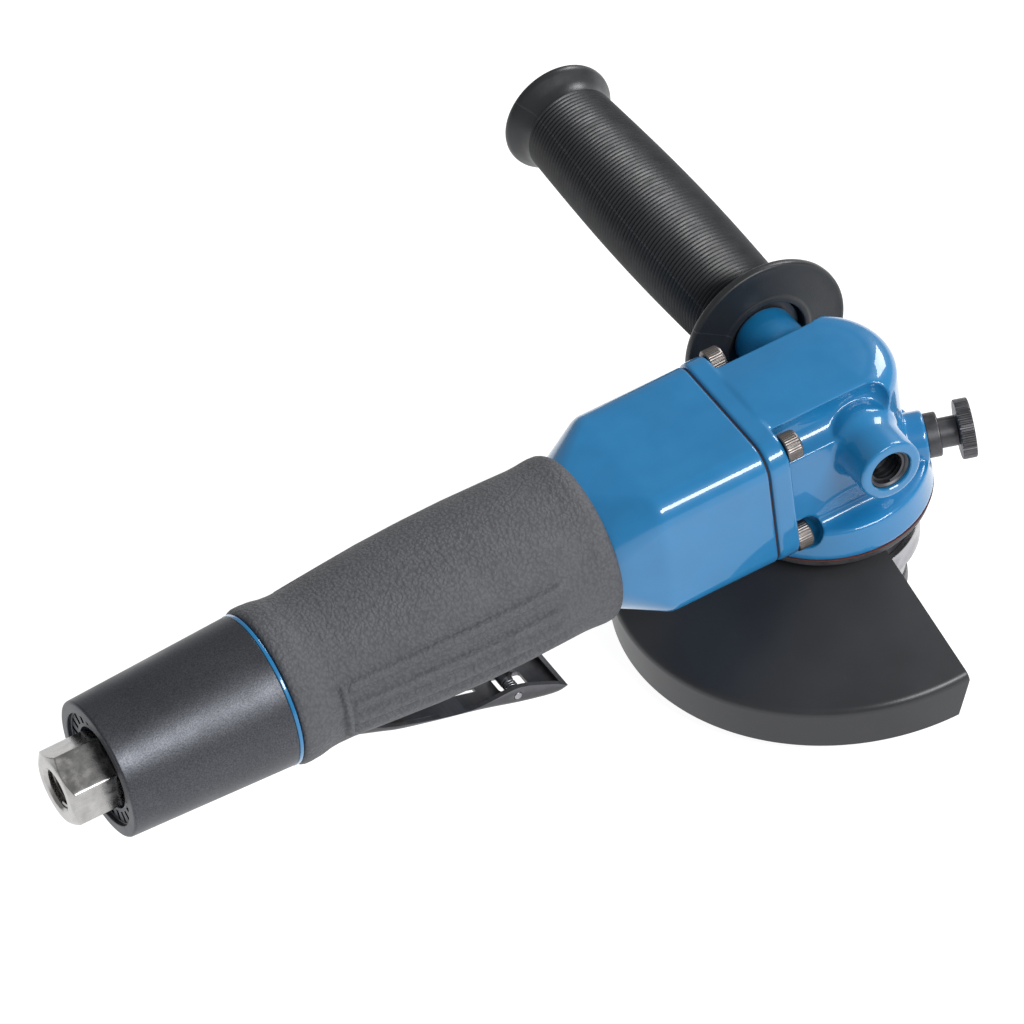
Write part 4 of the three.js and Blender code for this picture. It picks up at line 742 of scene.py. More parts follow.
def powder_coat(colour):
    """Satin black powder coat with faint scuffs."""
    made = Finish("black_powder_coat", colour, 0.4, 0.25)
    cloud = made.fitted(made.noise(0.03, 4.0), 0.3, 0.7)
    scuffs = made.fitted(made.noise(0.0035, 6.0, 0.8, made.stretched(1.0, 0.25, 1.0)), 0.66, 0.78)
    base = made.blended(cloud, shade(colour, 0.9), shade(colour, 1.1))
    made.feed("Base Color", made.blended(scuffs, base, shade(colour, 1.22)))
    made.feed("Roughness", made.fitted(cloud, 0.0, 1.0, 0.31, 0.4))
    made.raised(made.noise(0.0008, 2.0), 0.00004, 0.45)
    return made.material


def blackened_steel(colour):
    """Oil-blackened steel with bright wear on its corners."""
    made = Finish("blackened_steel", colour, 0.42, 0.75)
    cloud = made.fitted(made.noise(0.003, 4.0), 0.3, 0.7)
    base = made.blended(cloud, shade(colour, 0.8), shade(colour, 1.2))
    made.feed("Base Color", made.blended(made.edges(0.54, 0.64), base, shade(colour, 2.4)))
    made.feed("Roughness", made.fitted(cloud, 0.0, 1.0, 0.36, 0.5))
    made.raised(made.noise(0.0005, 3.0), 0.00004, 0.4)
    return made.material


def bright_steel(colour, name="bright_steel", roughness=0.26, stretch=(0.06, 1.0, 1.0)):
    """Machined steel with fine tool marks and a little tarnish."""
    made = Finish(name, colour, roughness, 1.0)
    marks = made.noise(0.00035, 2.0, 0.0, made.stretched(*stretch))
    stain = made.fitted(made.noise(0.004, 5.0), 0.4, 0.72)
    made.feed("Base Color", made.blended(stain, colour, shade(colour, 0.72)))
    made.feed("Roughness", made.fitted(stain, 0.0, 1.0, roughness, roughness + 0.16))
    made.raised(marks, 0.00003, 0.4)
    return made.material


def plain_metal(name, colour, roughness):
    made = Finish(name, colour, roughness, 1.0)
    cloud = made.fitted(made.noise(0.003, 4.0), 0.3, 0.7)
    made.feed("Base Color", made.blended(cloud, shade(colour, 0.8), shade(colour, 1.12)))
    made.feed("Roughness", made.fitted(cloud, 0.0, 1.0, roughness - 0.06, roughness + 0.1))
    made.raised(made.noise(0.0006, 3.0), 0.00005, 0.4)
    return made.material


def fibre_sheet(name, colour, grain):
    """Gasket paper, felt or laminate: matt, flecked and slightly fuzzy."""
    made = Finish(name, colour, 0.82)
    fleck = made.fitted(made.noise(grain, 5.0), 0.35, 0.65)
    made.feed("Base Color", made.blended(fleck, shade(colour, 0.62), shade(colour, 1.28)))
    made.feed("Roughness", made.fitted(fleck, 0.0, 1.0, 0.74, 0.92))
    made.raised(made.noise(grain * 0.6, 3.0), 0.00015, 0.5)
    return made.material


def all_finishes():
    """The finishes by material slot, made once."""
    colours = bpy.context.scene.grinder_finishes
    made = {}
    made["blue_paint"] = blue_enamel(tuple(colours.paint))
    made["dark_anodised"] = dark_anodised(tuple(colours.anodised))
    made["grip_rubber"] = grip_rubber(tuple(colours.grip))
    made["handle_rubber"] = handle_rubber(tuple(colours.handle))
    made["guard_coat"] = powder_coat(tuple(colours.guard))
    made["black_steel"] = blackened_steel(tuple(colours.blackened))
    made["steel"] = bright_steel(tuple(colours.steel))
    made["worn_steel"] = plain_metal("worn_steel", linear(176, 175, 174), 0.24)
    made["screw_steel"] = bright_steel(tuple(colours.screw), "screw_steel", 0.34, (1.0, 1.0, 1.0))
    made["brass"] = plain_metal("turned_brass", linear(196, 156, 88), 0.32)
    made["cast_iron"] = plain_metal("cast_iron", linear(92, 93, 97), 0.5)
    made["red_gasket"] = fibre_sheet("gasket_paper", tuple(colours.gasket), 0.0007)
    made["dark_gasket"] = fibre_sheet("dark_gasket", linear(52, 36, 38), 0.0007)
    made["composite"] = fibre_sheet("vane_laminate", linear(126, 92, 58), 0.0011)
    made["felt"] = fibre_sheet("felt", linear(48, 48, 50), 0.0016)
    return made


FINISHES = {}


def finish(slot):
    if not FINISHES:
        FINISHES.update(all_finishes())
    return FINISHES[slot]


# Inlet and exhaust sleeve

def soft_least(first, second, width):
    """The lesser of two values, with the crease between them rounded."""
    return -width * np.logaddexp(-first / width, -second / width)


def hex_reach(turns, across, sharpness=70):
    """The radius of a hex with slightly rounded corners, its flats towards +Y and -Y."""
    total = np.zeros_like(turns)
    for side in range(6):
        total += np.clip(np.cos(turns - side * math.pi / 3), 0, None) ** sharpness
    return across / 2 / total ** (1 / sharpness)


def make_inlet():
    sizes = bpy.context.scene.grinder_inlet
    across, chamfer, pitch = in_mm(sizes.across), in_mm(sizes.chamfer), in_mm(sizes.thread_pitch)
    rear, front, shank_end, mouth_end = -249.5, -232.0, -205.0, -233.5
    shank, airway, airway_edge = 9.5, 4.5, 0.4
    mouth, lead_in, lead_depth, face = 5.9, 6.9, 0.9, 9.0
    thread_middle, thread_half, thread_start, thread_turns = 5.95, 0.62, 1.6, 9
    rear_draw, front_draw = ((0, 0.25), (0.06, 0.08)), ((0.2, 0), (0.05, 0.1), (0, 0.3))
    cone_start, cone_overrun, cone_rings, hex_edge, sides = 0.16, 0.3, 16, 0.07, 240
    corner = across / math.sqrt(3)
    slope = (corner - across / 2 + chamfer / 2) / chamfer

    def hex_ring(place, inset=0.0):
        cone = across / 2 - chamfer / 2 + slope * (place - rear) - inset
        return round_ring(place, lambda turns: soft_least(
            hex_reach(turns, across) - inset, np.full_like(turns, cone), hex_edge,
        ), sides)

    rings = [hex_ring(rear + depth, inset) for depth, inset in rear_draw]
    depths = np.linspace(cone_start, chamfer + cone_overrun, cone_rings)
    rings += [hex_ring(rear + depth) for depth in depths]
    rings += [hex_ring(front - depth, inset) for depth, inset in front_draw]
    outside = eased([
        (front, shank), (shank_end, shank, ROUND), (shank_end, airway, airway_edge), (mouth_end, airway),
        (mouth_end, mouth),
    ])
    inside = eased([
        (mouth_end, mouth), (rear + lead_depth, mouth, KEEN), (rear, lead_in, BROKEN), (rear, face),
    ])
    rings += [round_ring(place, radius, sides) for place, radius in outside[:-1] + inside]
    bushing = skin("inlet", rings, around=True)
    thread = wound(
        "thread", thread_middle, pitch * thread_turns, thread_turns, thread_half, finish("worn_steel"),
        THREAD_SIDES, at(rear + thread_start) @ UPRIGHT_TO_X,
    )
    together(bushing, thread)
    finished(bushing, "inlet_fitting", "tool", ["inlet_bushing"], "steel", "worn_steel", sharp=28)


def make_exhaust_sleeve():
    sizes = bpy.context.scene.grinder_sleeve
    rear, front, spigot_end, recess_depth, floor_sheet = -236.0, -184.1, -194.4, 1.5, 2.5
    nose, rim, rear_radius, front_radius = 12.6, 17.4, 20.95, 23.0
    spigot, inside_front, inside_rear = 20.8, 20.5, 18.8
    slot_start, slot_end, nose_edge, rim_edge = 13.7, 17.0, 0.15, 0.35
    floor = rear + recess_depth
    wall = floor + floor_sheet
    body = turned("sleeve", [
        (floor, nose, nose_edge), (floor, rim, rim_edge), (rear, rim, rim_edge),
        (rear, rear_radius, in_mm(sizes.edge)), (front, front_radius, BROKEN), (front, spigot),
        (spigot_end, spigot), (spigot_end, inside_front), (wall, inside_rear), (wall, nose, nose_edge),
    ], around=True)
    half = in_mm(sizes.slot_width) / 2
    slot = block("slot", rear, wall + OVERRUN, -half, half, slot_start, slot_end)
    count = sizes.slot_count
    slots = round_axis("slots", slot, count, finish("dark_anodised"), math.pi / count)
    cut(body, slots)
    finished(body, "exhaust_cover", "tool", ["exhaust_sleeve"], "dark_anodised", sharp=34)


# Motor housing

HOUSING_FRONT, TAPER_FRONT, TAPER_REAR, TUBE = -30.9, -65.4, -84.4, 20.2
HALF_WIDTH, HALF_HEIGHT = 25.6, 21.8
SCREW_SIDE, SCREW_HEIGHT, SCREW_HOLE = 20.8, 17.8, 2.1
SCREW_CORNERS = ((1, 1), (-1, 1), (-1, -1), (1, -1))
VALVE_PLACE = -141


def section(place, half_width, top, bottom, top_corner, bottom_corner, grow=0.0, steps=14):
    """The rounded section across the motor."""
    points = []
    corners = [
        (half_width, top, top_corner), (-half_width, top, top_corner),
        (-half_width, -bottom, bottom_corner), (half_width, -bottom, bottom_corner),
    ]
    for quarter, (y, z, radius) in enumerate(corners):
        middle_y = y - math.copysign(radius, y)
        middle_z = z - math.copysign(radius, z)
        for step in range(steps + 1):
            turn = math.pi / 2 * (quarter + step / steps)
            reach = radius + grow
            points.append((place, middle_y + reach * math.cos(turn), middle_z + reach * math.sin(turn)))
    return np.array(points)


def housing_section():
    """What section asks for at the straight front of the housing."""
    sizes = bpy.context.scene.grinder_housing
    corners = in_mm(sizes.top_corner), in_mm(sizes.bottom_corner)
    return np.array([HALF_WIDTH, HALF_HEIGHT, HALF_HEIGHT, *corners])


def soft_ramp(distance, width):
    """Nothing below zero and the distance above it, with a rounded crease."""
    if distance <= -width:
        return 0.0
    if distance >= width:
        return distance
    return (distance + width) ** 2 / (4 * width)


def barrel(name, grow=0.0):
    """The front of the housing and its taper to the round tube."""
    full = housing_section()
    crease = in_mm(bpy.context.scene.grinder_housing.crease)
    taper_step, taper_rings, crease_rings, edge_depth, edge_inset, edge_steps = 6, 3, 9, 0.8, 0.6, 5
    places = [TAPER_REAR + taper_step * i for i in range(taper_rings)]
    places += list(np.linspace(TAPER_FRONT - crease, TAPER_FRONT + crease, crease_rings))
    places += [HOUSING_FRONT - edge_depth]
    rings = []
    for place in places:
        share = 1 - soft_ramp(TAPER_FRONT - place, crease) / (TAPER_FRONT - TAPER_REAR)
        rings.append(section(place, *(TUBE + (full - TUBE) * share), grow=grow))
    for step in range(1, edge_steps + 1):
        turn = math.pi / 2 * step / edge_steps
        place = HOUSING_FRONT - edge_depth * (1 - math.sin(turn))
        rings.append(section(place, *full, grow=grow - edge_inset * (1 - math.cos(turn))))
    return skin(name, rings)


def screw_places():
    return [(0, side * SCREW_SIDE, rise * SCREW_HEIGHT) for side, rise in SCREW_CORNERS]


def screw_holes(start, end):
    return [rod("screw_hole", start, end, SCREW_HOLE, place=at(*place)) for place in screw_places()]


def housing_rear():
    nose, ring_rear, ring_front, spigot_start = -231.7, -184.1, -182.9, -194.1
    nose_radius, spigot, ring, ring_edge, lap = 12.4, 20.4, 23.2, 0.35, 0.8
    return turned("rear", [
        (nose, 0), (nose, nose_radius), (spigot_start, nose_radius), (spigot_start, spigot),
        (ring_rear, spigot), (ring_rear, ring, ring_edge), (ring_front, ring, ring_edge),
        (ring_front, TUBE), (TAPER_REAR + lap, TUBE), (TAPER_REAR + lap, 0),
    ])


def valve_block():
    """The block under the tube that holds the lever's pivot and the valve."""
    rear, level_end, slope_end, front = -174, -155, -147, -118
    half_width, pivot_bottom, bottom = 6.4, -24, -24.9
    return slab("valve_block", [
        (rear, 0), (rear, pivot_bottom), (level_end, pivot_bottom), (slope_end, bottom),
        (front, bottom), (front, 0),
    ], -half_width, half_width)


def housing_ways():
    """What is hollow in the housing: motor, air, exhaust, valve, pivot and screws."""
    motor_rear, chamber_rear, lap, motor, chamber = -98.6, -101.3, 0.3, 17.6, 13.3
    inlet_rear, inlet_front, screen_front, inlet, screen, air = -232, -204.7, -190, 9.7, 6.9, 6
    exhaust_rear, exhaust_side, exhaust = -196.1, 13.6, 2.6
    valve_bottom, valve_top, valve, pivot_half, pivot = -26.9, 6, 6, 9, 1.55
    screw_depth = -43.5
    motor_end = motor_rear + lap
    ways = [
        rod("motor_bore", motor_rear, 0, motor, FINE), rod("air_chamber", chamber_rear, motor_end, chamber),
        turned("air_way", [
            (inlet_rear, 0), (inlet_rear, inlet), (inlet_front, inlet), (inlet_front, screen),
            (screen_front, screen), (screen_front, air), (motor_end, air), (motor_end, 0),
        ], SMALL),
        rod("valve_bore", valve_bottom, valve_top, valve, place=at(VALVE_PLACE) @ ALONG_Z),
        rod("pivot_hole", -pivot_half, pivot_half, pivot, place=across_at(PIVOT)),
    ]
    for side in (-exhaust_side, exhaust_side):
        ways.append(rod("exhaust_way", exhaust_rear, motor_end, exhaust, place=at(0, side)))
    return ways + screw_holes(screw_depth, 0)


def make_housing():
    body = joined(housing_rear(), barrel("barrel"), valve_block())
    cut(body, *housing_ways())
    finished(body, "motor_case", "tool", ["motor_housing"], "blue_paint", sharp=26)

    inset, thickness, opening, hole_start, hole_end = 0.7, 0.6, 11.5, -32, -29
    rings = [section(HOUSING_FRONT + step, *housing_section(), grow=-inset) for step in (0, thickness)]
    seal = skin("seal", rings)
    cut(seal, rod("opening", hole_start, hole_end, opening), *screw_holes(hole_start, hole_end))
    finished(seal, "flange_gasket", "tool", ["head_gasket"], "dark_gasket")


# Grip

GRIP_REAR, GRIP_FRONT = -182.6, -79
GRIP_PROFILE = [
    (GRIP_REAR, 22.4), (-182.4, 23.1), (-181.9, 23.7), (-181.0, 24.0), (-179.5, 24.05), (-176, 23.8),
    (-173, 23.2), (-170, 22.95), (-165, 23.05), (-160, 23.5), (-150, 24.3), (-138, 25.2), (-125, 25.7),
    (-112, 25.8), (-99, 25.5), (-91, 25.25), (-88, 25.35), (-86, 25.55), (-84, 25.65), (-82, 25.5),
    (-80.8, 25.0), (-79.8, 24.2), (-79.2, 23.2), (GRIP_FRONT, 22.2),
]
RIDGE_ANGLES = [math.radians(angle) for angle in (22, 6, -7.5, -19)]


def ridge_rise(place, turn, radius, sizes):
    """How far the ridges lift the skin: four long ones and a short one across their rear end."""
    rear, front = in_mm(sizes.panel_rear), in_mm(sizes.panel_front)
    rear_run, front_run, cross_share, margin, fade = 2.5, 3.5, 0.8, 0.06, 25
    half = in_mm(sizes.ridge_width) / 2
    side = np.where(np.cos(turn) > 0, turn, math.pi - turn)
    side = (side + math.pi) % (2 * math.pi) - math.pi
    ends = np.clip((place - rear) / rear_run, 0, 1) * np.clip((front - place) / front_run, 0, 1)
    rise = np.zeros_like(turn)
    for angle in RIDGE_ANGLES:
        away = np.abs(side - angle) * radius / half
        rise = np.maximum(rise, np.exp(-(away ** 6)) * ends)
    below_top = np.clip((RIDGE_ANGLES[0] + margin - side) * fade, 0, 1)
    above_bottom = np.clip((side - RIDGE_ANGLES[-1] + margin) * fade, 0, 1)
    across = np.exp(-(((place - rear) / (half * cross_share)) ** 4)) * below_top * above_bottom
    return np.maximum(rise, across) * in_mm(sizes.ridge_height)


def make_grip():
    sizes = bpy.context.scene.grinder_grip
    bore, clearance, sides = 20.5, 0.3, 360
    pocket_rear, pocket_front, pocket_half, pocket_bottom, pocket_top = -174.4, -117.6, 9.8, -30, -15
    # Rings stand closer together at both ends and where the ridges start and stop.
    places = np.concatenate((
        np.linspace(GRIP_REAR, -181, 9), np.arange(-180.5, -172, 0.8), np.arange(-172, -162, 0.35),
        np.arange(-162, -100, 1.0), np.arange(-100, -92, 0.5), np.arange(-92, -82.2, 0.8),
        np.linspace(-82, GRIP_FRONT, 14),
    ))
    table = np.array(GRIP_PROFILE)
    rings = []
    for place in places:
        radius = np.interp(place, table[:, 0], table[:, 1])
        rings.append(round_ring(
            place, lambda turns: radius + ridge_rise(place, turns, radius, sizes), sides,
        ))
    sleeve = skin("grip", rings)
    hollow = rod("bore", GRIP_REAR - OVERRUN, GRIP_FRONT + OVERRUN, bore, FINE)
    pocket = block("pocket", pocket_rear, pocket_front, -pocket_half, pocket_half, pocket_bottom, pocket_top)
    cut(sleeve, hollow, barrel("clearance", clearance), pocket)
    finished(sleeve, "grip_cover", "tool", ["grip_sleeve"], "grip_rubber", sharp=40, flat_first=False)


# Gear head

FLANGE_FRONT, FLANGE_REAR = -23.5, -30.3
BASE_TOP, BASE_BOTTOM = -17.2, -27.5
INSERT_RADIUS, INSERT_LENGTH, NEAR_INSERT, FAR_INSERT = 6.3, 13, 34.6, 36.2


def head_outline(height, inset, steps=56):
    """The plan of the domed body at one height: straight flanks and a round nose."""
    full_width, full_nose, lap = 20.9, 23.2, 0.8
    width = full_width - inset
    nose = full_nose - inset
    reach = math.asin(width / nose)
    turns = np.linspace(-reach, reach, steps)
    points = [(nose * math.cos(turn), nose * math.sin(turn), height) for turn in turns]
    for share in (1, 0.5, 0, -0.5, -1):
        points.append((FLANGE_FRONT - lap, width * share, height))
    return np.array(points)


def head_body(name, fillet):
    """The domed body: a fillet at its root, a round shoulder and a slightly crowned top."""
    root, shoulder, shoulder_rise, shoulder_inset, crown_rise, crown_inset = -19.2, 15.6, 6, 8, 0.85, 11
    fillet_steps, shoulder_steps, crown_steps = 8, 12, 6
    rings = [head_outline(root, -fillet)]
    for step in range(fillet_steps + 1):
        turn = math.pi / 2 * step / fillet_steps
        height = BASE_TOP + fillet * (1 - math.cos(turn))
        rings.append(head_outline(height, -fillet * (1 - math.sin(turn))))
    for step in range(shoulder_steps + 1):
        turn = math.pi / 2 * step / shoulder_steps
        inset = shoulder_inset * (1 - math.cos(turn))
        rings.append(head_outline(shoulder + shoulder_rise * math.sin(turn), inset))
    for step in range(1, crown_steps + 1):
        share = step / crown_steps
        height = shoulder + shoulder_rise + crown_rise * (1 - (1 - share) ** 2)
        rings.append(head_outline(height, shoulder_inset + crown_inset * share))
    return skin(name, rings)


def channel(name, place):
    """A round-ended channel that gives the screw's key its way in."""
    upper, lower, steps = (7, 6.5), (-19.5, 5.2), 8
    end, radius = upper if place[2] > 0 else lower
    profile = [(FLANGE_FRONT, 0), (FLANGE_FRONT, radius), (end, radius)]
    for step in range(1, steps + 1):
        turn = math.pi / 2 * step / steps
        profile.append((end + radius * math.sin(turn), radius * math.cos(turn)))
    return turned(name, profile, MEDIUM, place=at(*place))


def boss_shape(name, reach, place):
    """A handle boss, which swells where it grows out of the body."""
    root, root_radius, neck_start, neck_radius, neck_end, radius = 15, 11.2, 20.3, 10.3, 24.2, 9.7
    neck_middle, face_edge = 21.9, 0.7
    return turned(name, [
        (root, 0), (root, root_radius), (neck_start, root_radius, 1), (neck_middle, neck_radius, 1.5),
        (neck_end, radius, 2), (reach, radius, face_edge), (reach, 0),
    ], MEDIUM, place=place)


def flange_plate():
    half_width, top, bottom, corner, rear_edge, front_edge, front_draw = 26, 22, 23, 8, 0.5, 0.9, 0.25
    steps = (
        (FLANGE_REAR, rear_edge), (FLANGE_REAR + rear_edge, 0), (FLANGE_FRONT - front_edge, 0),
        (FLANGE_FRONT - front_draw, front_draw), (FLANGE_FRONT, front_edge),
    )
    return skin("flange", [
        section(place, half_width, top, bottom, corner, corner, grow=-inset) for place, inset in steps
    ])


def softened(casting):
    """Rounds every corner of the casting a little, by a fine grid and a few passes of smoothing."""
    sizes = bpy.context.scene.grinder_head
    grid = casting.modifiers.new("grid", "REMESH")
    grid.mode = "VOXEL"
    grid.voxel_size = in_mm(sizes.casting_grid)
    grid.adaptivity = 0
    ease = casting.modifiers.new("ease", "SMOOTH")
    ease.factor = 0.5
    ease.iterations = sizes.softening
    return baked(casting)


def insert_seat(name, reach, place):
    """The bore that holds a threaded insert, with a countersink at the boss's face."""
    bottom, radius, countersink, overrun = 13.3, INSERT_RADIUS + 0.15, 7.2, 0.8
    return turned(name, [
        (reach - bottom, 0), (reach - bottom, radius), (reach, radius), (reach + overrun, countersink),
        (reach + overrun, 0),
    ], MEDIUM, place=place)


def head_ways():
    """What is hollow in the head: gears, bearings, pinion shaft, inserts, lock and screws."""
    bottom, gear_top, gears, top, bearing = -29.5, 9, 18.9, 17.2, 9.08
    screw_start, screw_end, shaft, lock_start, lock_end, lock = -32.3, -21.5, 9.5, 15, 31.3, 5.4
    return [
        turned("chamber", [
            (bottom, 0), (bottom, gears), (gear_top, gears), (gear_top, bearing), (top, bearing), (top, 0),
        ], MEDIUM, place=ALONG_Z),
        rod("shaft_hole", screw_start, 0, shaft, MEDIUM),
        insert_seat("near_seat", NEAR_INSERT, NEAR_BOSS), insert_seat("far_seat", FAR_INSERT, FAR_BOSS),
        rod("lock_hole", lock_start, lock_end, lock, MEDIUM, LOCK_AXIS),
    ] + screw_holes(screw_start, screw_end)


def make_gear_head():
    fillet = in_mm(bpy.context.scene.grinder_head.root_fillet)
    base_radius, base_shoulder, base_inner, base_slope = 30.4, 29.6, 28.2, -17.8
    pocket_start, pocket_end, pocket = 28.5, 38.5, 9.2
    boss_start, boss_end, boss, near_reach, far_reach = 15, 29.3, 7.8, 34.9, 36.5
    base = turned("base", [
        (BASE_BOTTOM, 0), (BASE_BOTTOM, base_radius, 0.6), (base_slope, base_shoulder, 1.4),
        (BASE_TOP, base_inner, 0.6), (BASE_TOP, 0),
    ], place=ALONG_Z)
    casting = joined(head_body("casting", fillet), base)
    lock_pocket = rod("lock_pocket", pocket_start, pocket_end, pocket, MEDIUM, LOCK_AXIS)
    cut(casting, lock_pocket, *[channel("channel", place) for place in screw_places()])
    lock_boss = turned("lock_boss", [
        (boss_start, 0), (boss_start, boss), (boss_end, boss, 0.6), (boss_end, 0),
    ], MEDIUM, place=LOCK_AXIS)
    joined(
        casting, flange_plate(), boss_shape("near_boss", near_reach, NEAR_BOSS),
        boss_shape("far_boss", far_reach, FAR_BOSS), lock_boss,
    )
    cut(softened(casting), *head_ways())
    finished(casting, "head_casting", "tool", ["gear_head"], "blue_paint", sharp=38, flat_first=False)


def make_thread_insert(name, reach, place, stands_for):
    bore, recess, mouth, mouth_depth, bore_edge = 5.3, 0.7, 5.9, 1.3, 0.1
    thread_middle, thread_half, pitch, turns, thread_end = 5.45, 0.85, 1.75, 6, 1.6
    insert = turned("insert", [
        (reach - INSERT_LENGTH, bore), (reach - INSERT_LENGTH, INSERT_RADIUS, BROKEN),
        (reach - recess, INSERT_RADIUS, bore_edge), (reach - recess, mouth, bore_edge),
        (reach - mouth_depth, bore, KEEN),
    ], MEDIUM, True, place)
    thread = wound(
        "thread", thread_middle, pitch * turns, turns, thread_half, finish("cast_iron"), THREAD_SIDES,
        place @ at(reach - thread_end - pitch * turns) @ UPRIGHT_TO_X,
    )
    together(insert, thread)
    finished(insert, name, "tool", [stands_for], "steel", "cast_iron")


def make_thread_inserts():
    make_thread_insert("near_thread_insert", NEAR_INSERT, NEAR_BOSS, "handle_insert_near")
    make_thread_insert("far_thread_insert", FAR_INSERT, FAR_BOSS, "handle_insert_far")


def make_flange_screws():
    sizes = bpy.context.scene.grinder_screws
    radius, across = in_mm(sizes.head_radius), in_mm(sizes.socket)
    face = FLANGE_FRONT + in_mm(sizes.head_length)
    shank_length, shank, chamfer, sides, knurls, knurl_depth = 18, 1.9, 0.4, 216, 36, 0.06
    knurl_rear, knurl_front, key_depth, key_lead, key_overrun, lead_in = 0.4, 0.75, 2.8, 0.35, 0.2, 0.9
    tip = FLANGE_FRONT - shank_length

    def knurled(turns):
        return radius - knurl_depth + knurl_depth * np.cos(knurls * turns)

    head = [(0, 0.3), (0.25, 0.08)]
    crown = [(0.6, 0.1), (0.25, 0.22), (0, 0.55)]
    rings = [
        (tip, 0), (tip, shank - chamfer), (tip + chamfer, shank), (FLANGE_FRONT, shank),
        *[(FLANGE_FRONT + depth, radius - inset) for depth, inset in head],
        (FLANGE_FRONT + knurl_rear, knurled), (face - knurl_front, knurled),
        *[(face - depth, radius - inset) for depth, inset in crown], (face, 0),
    ]
    screw = skin("screw", [round_ring(place, reach, sides) for place, reach in rings])
    key = skin("key", [
        round_ring(place, lambda turns: hex_reach(turns, width), MEDIUM) for place, width in (
            (face - key_depth, across), (face - key_lead, across), (face + key_overrun, across + lead_in),
        )
    ])
    cut(screw, key)
    screws = at_places("screws", screw, screw_places(), finish("screw_steel"))
    finished(screws, "flange_screws", "tool", numbered("head_screw", 4), "screw_steel")


# Spindle lock

def make_lock_guide():
    inner, outer, face, rear_bore, bore = 20.6, 29.3, 33.2, 2.6, 4.6
    seat, head, step = 5.2, 6.5, 23.8
    bushing = turned("bushing", [
        (inner, rear_bore), (inner, seat, BROKEN), (outer, seat), (outer, head, BROKEN), (face, head, 0.6),
        (face, bore, KEEN), (step, bore), (step, rear_bore),
    ], MEDIUM, True, LOCK_AXIS)
    finished(bushing, "lock_guide", "tool", ["lock_bushing"], "black_steel")


def make_lock_stem():
    tip, step, knob_seat, end, pin, stem, knob_pin = 10.9, 30.6, 38.5, 41.3, 2.4, 4.4, 2.2
    shape = turned("pin", [
        (tip, 0), (tip, pin, 0.4), (step, pin), (step, stem, BROKEN), (knob_seat, stem, KEEN),
        (knob_seat, knob_pin), (end, knob_pin, KEEN), (end, 0),
    ], MEDIUM, place=LOCK_AXIS)
    finished(shape, "lock_stem", "lock", ["lock_pin"], "steel", "black_steel")


def make_lock_button():
    sizes = bpy.context.scene.grinder_lock
    radius = in_mm(sizes.knob_radius)
    inner, outer, groove_start, groove_end, groove_radius, groove_sides = 38.7, 42.9, 37, 45, 0.42, 12
    hole, hole_end, dish_depth, dish_rim, dish_slope, dish_end = 2.4, 42.1, 42.5, 2.0, 0.3, 44
    knob = turned("knob", [(inner, 0), (inner, radius, SOFT), (outer, radius, SOFT), (outer, 0)], MEDIUM * 2)
    groove = rod(
        "groove", groove_start, groove_end, groove_radius, groove_sides,
        at(z=radius + groove_radius - in_mm(sizes.groove_depth)),
    )
    grooves = round_axis("grooves", groove, sizes.groove_count, finish("black_steel"))
    dish = turned("dish", [
        (dish_depth, 0), (dish_depth, radius - dish_rim, BROKEN), (dish_end, radius - dish_rim + dish_slope),
        (dish_end, 0),
    ], MEDIUM)
    cut(knob, grooves, dish, rod("hole", groove_start, hole_end, hole))
    knob.data.transform(LOCK_AXIS)
    finished(knob, "lock_button", "lock", ["lock_knob"], "black_steel", sharp=30)


def make_lock_spring():
    springs = bpy.context.scene.grinder_springs
    radius, length, start = 3.5, 3.0, 24.1
    wire = in_mm(springs.lock_wire) / 2
    spring = wound(
        "spring", radius, length - 2 * wire, springs.lock_turns, wire, finish("steel"),
        place=LOCK_AXIS @ at(start + wire) @ UPRIGHT_TO_X,
    )
    finished(spring, "lock_return_spring", "tool", ["lock_spring"], "steel")


# Spindle, cap and flanges

def make_spindle_shaft():
    pitch = in_mm(bpy.context.scene.grinder_spindle.thread_pitch)
    bottom, thread_top, shoulder, top, core, shaft, journal = -70, -60.3, 9, 16.8, 5.9, 7, 5
    thread_middle, thread_half, thread_turns, thread_start = 5.95, 0.72, 4.5, 0.8
    bar = turned("bar", [
        (bottom, 0), (bottom, core, 0.7), (thread_top, core), (thread_top, shaft), (shoulder, shaft, KEEN),
        (shoulder, journal), (top, journal, SOFT), (top, 0),
    ], MEDIUM, place=ALONG_Z)
    thread = wound(
        "thread", thread_middle, pitch * thread_turns, thread_turns, thread_half, finish("steel"),
        THREAD_SIDES, at(z=bottom + thread_start),
    )
    together(bar, thread)
    finished(bar, "spindle_shaft", "spindle", ["spindle"], "steel")


def make_inner_flange():
    bottom, plate_bottom, plate_top, top, bore, pilot, plate = -60.3, -59, -55, -53.3, 7.1, 11, 20
    washer = turned("washer", [
        (bottom, bore), (bottom, pilot, KEEN), (plate_bottom, pilot, KEEN), (plate_bottom, plate, BROKEN),
        (plate_top, plate, SOFT), (top, pilot, SOFT), (top, bore),
    ], MEDIUM, True, ALONG_Z)
    finished(washer, "inner_clamp_flange", "spindle", ["inner_flange"], "steel")


def make_flange_nut():
    bottom, top, bore, radius = -66, -60.6, 6.85, 20
    hole_start, hole_end, hole, hole_place = -68, -58, 2.4, 14.5
    nut = turned("nut", [
        (bottom, bore, KEEN), (bottom, radius, ROUND), (top, radius, 0.4), (top, bore, KEEN),
    ], MEDIUM, True, ALONG_Z)
    pin_hole = rod("hole", hole_start, hole_end, hole, place=at(z=hole_place))
    holes = round_axis("holes", pin_hole, bpy.context.scene.grinder_spindle.nut_holes, finish("black_steel"))
    holes.data.transform(ALONG_Z)
    cut(nut, holes)
    finished(nut, "clamping_nut", "spindle", ["flange_nut"], "black_steel")


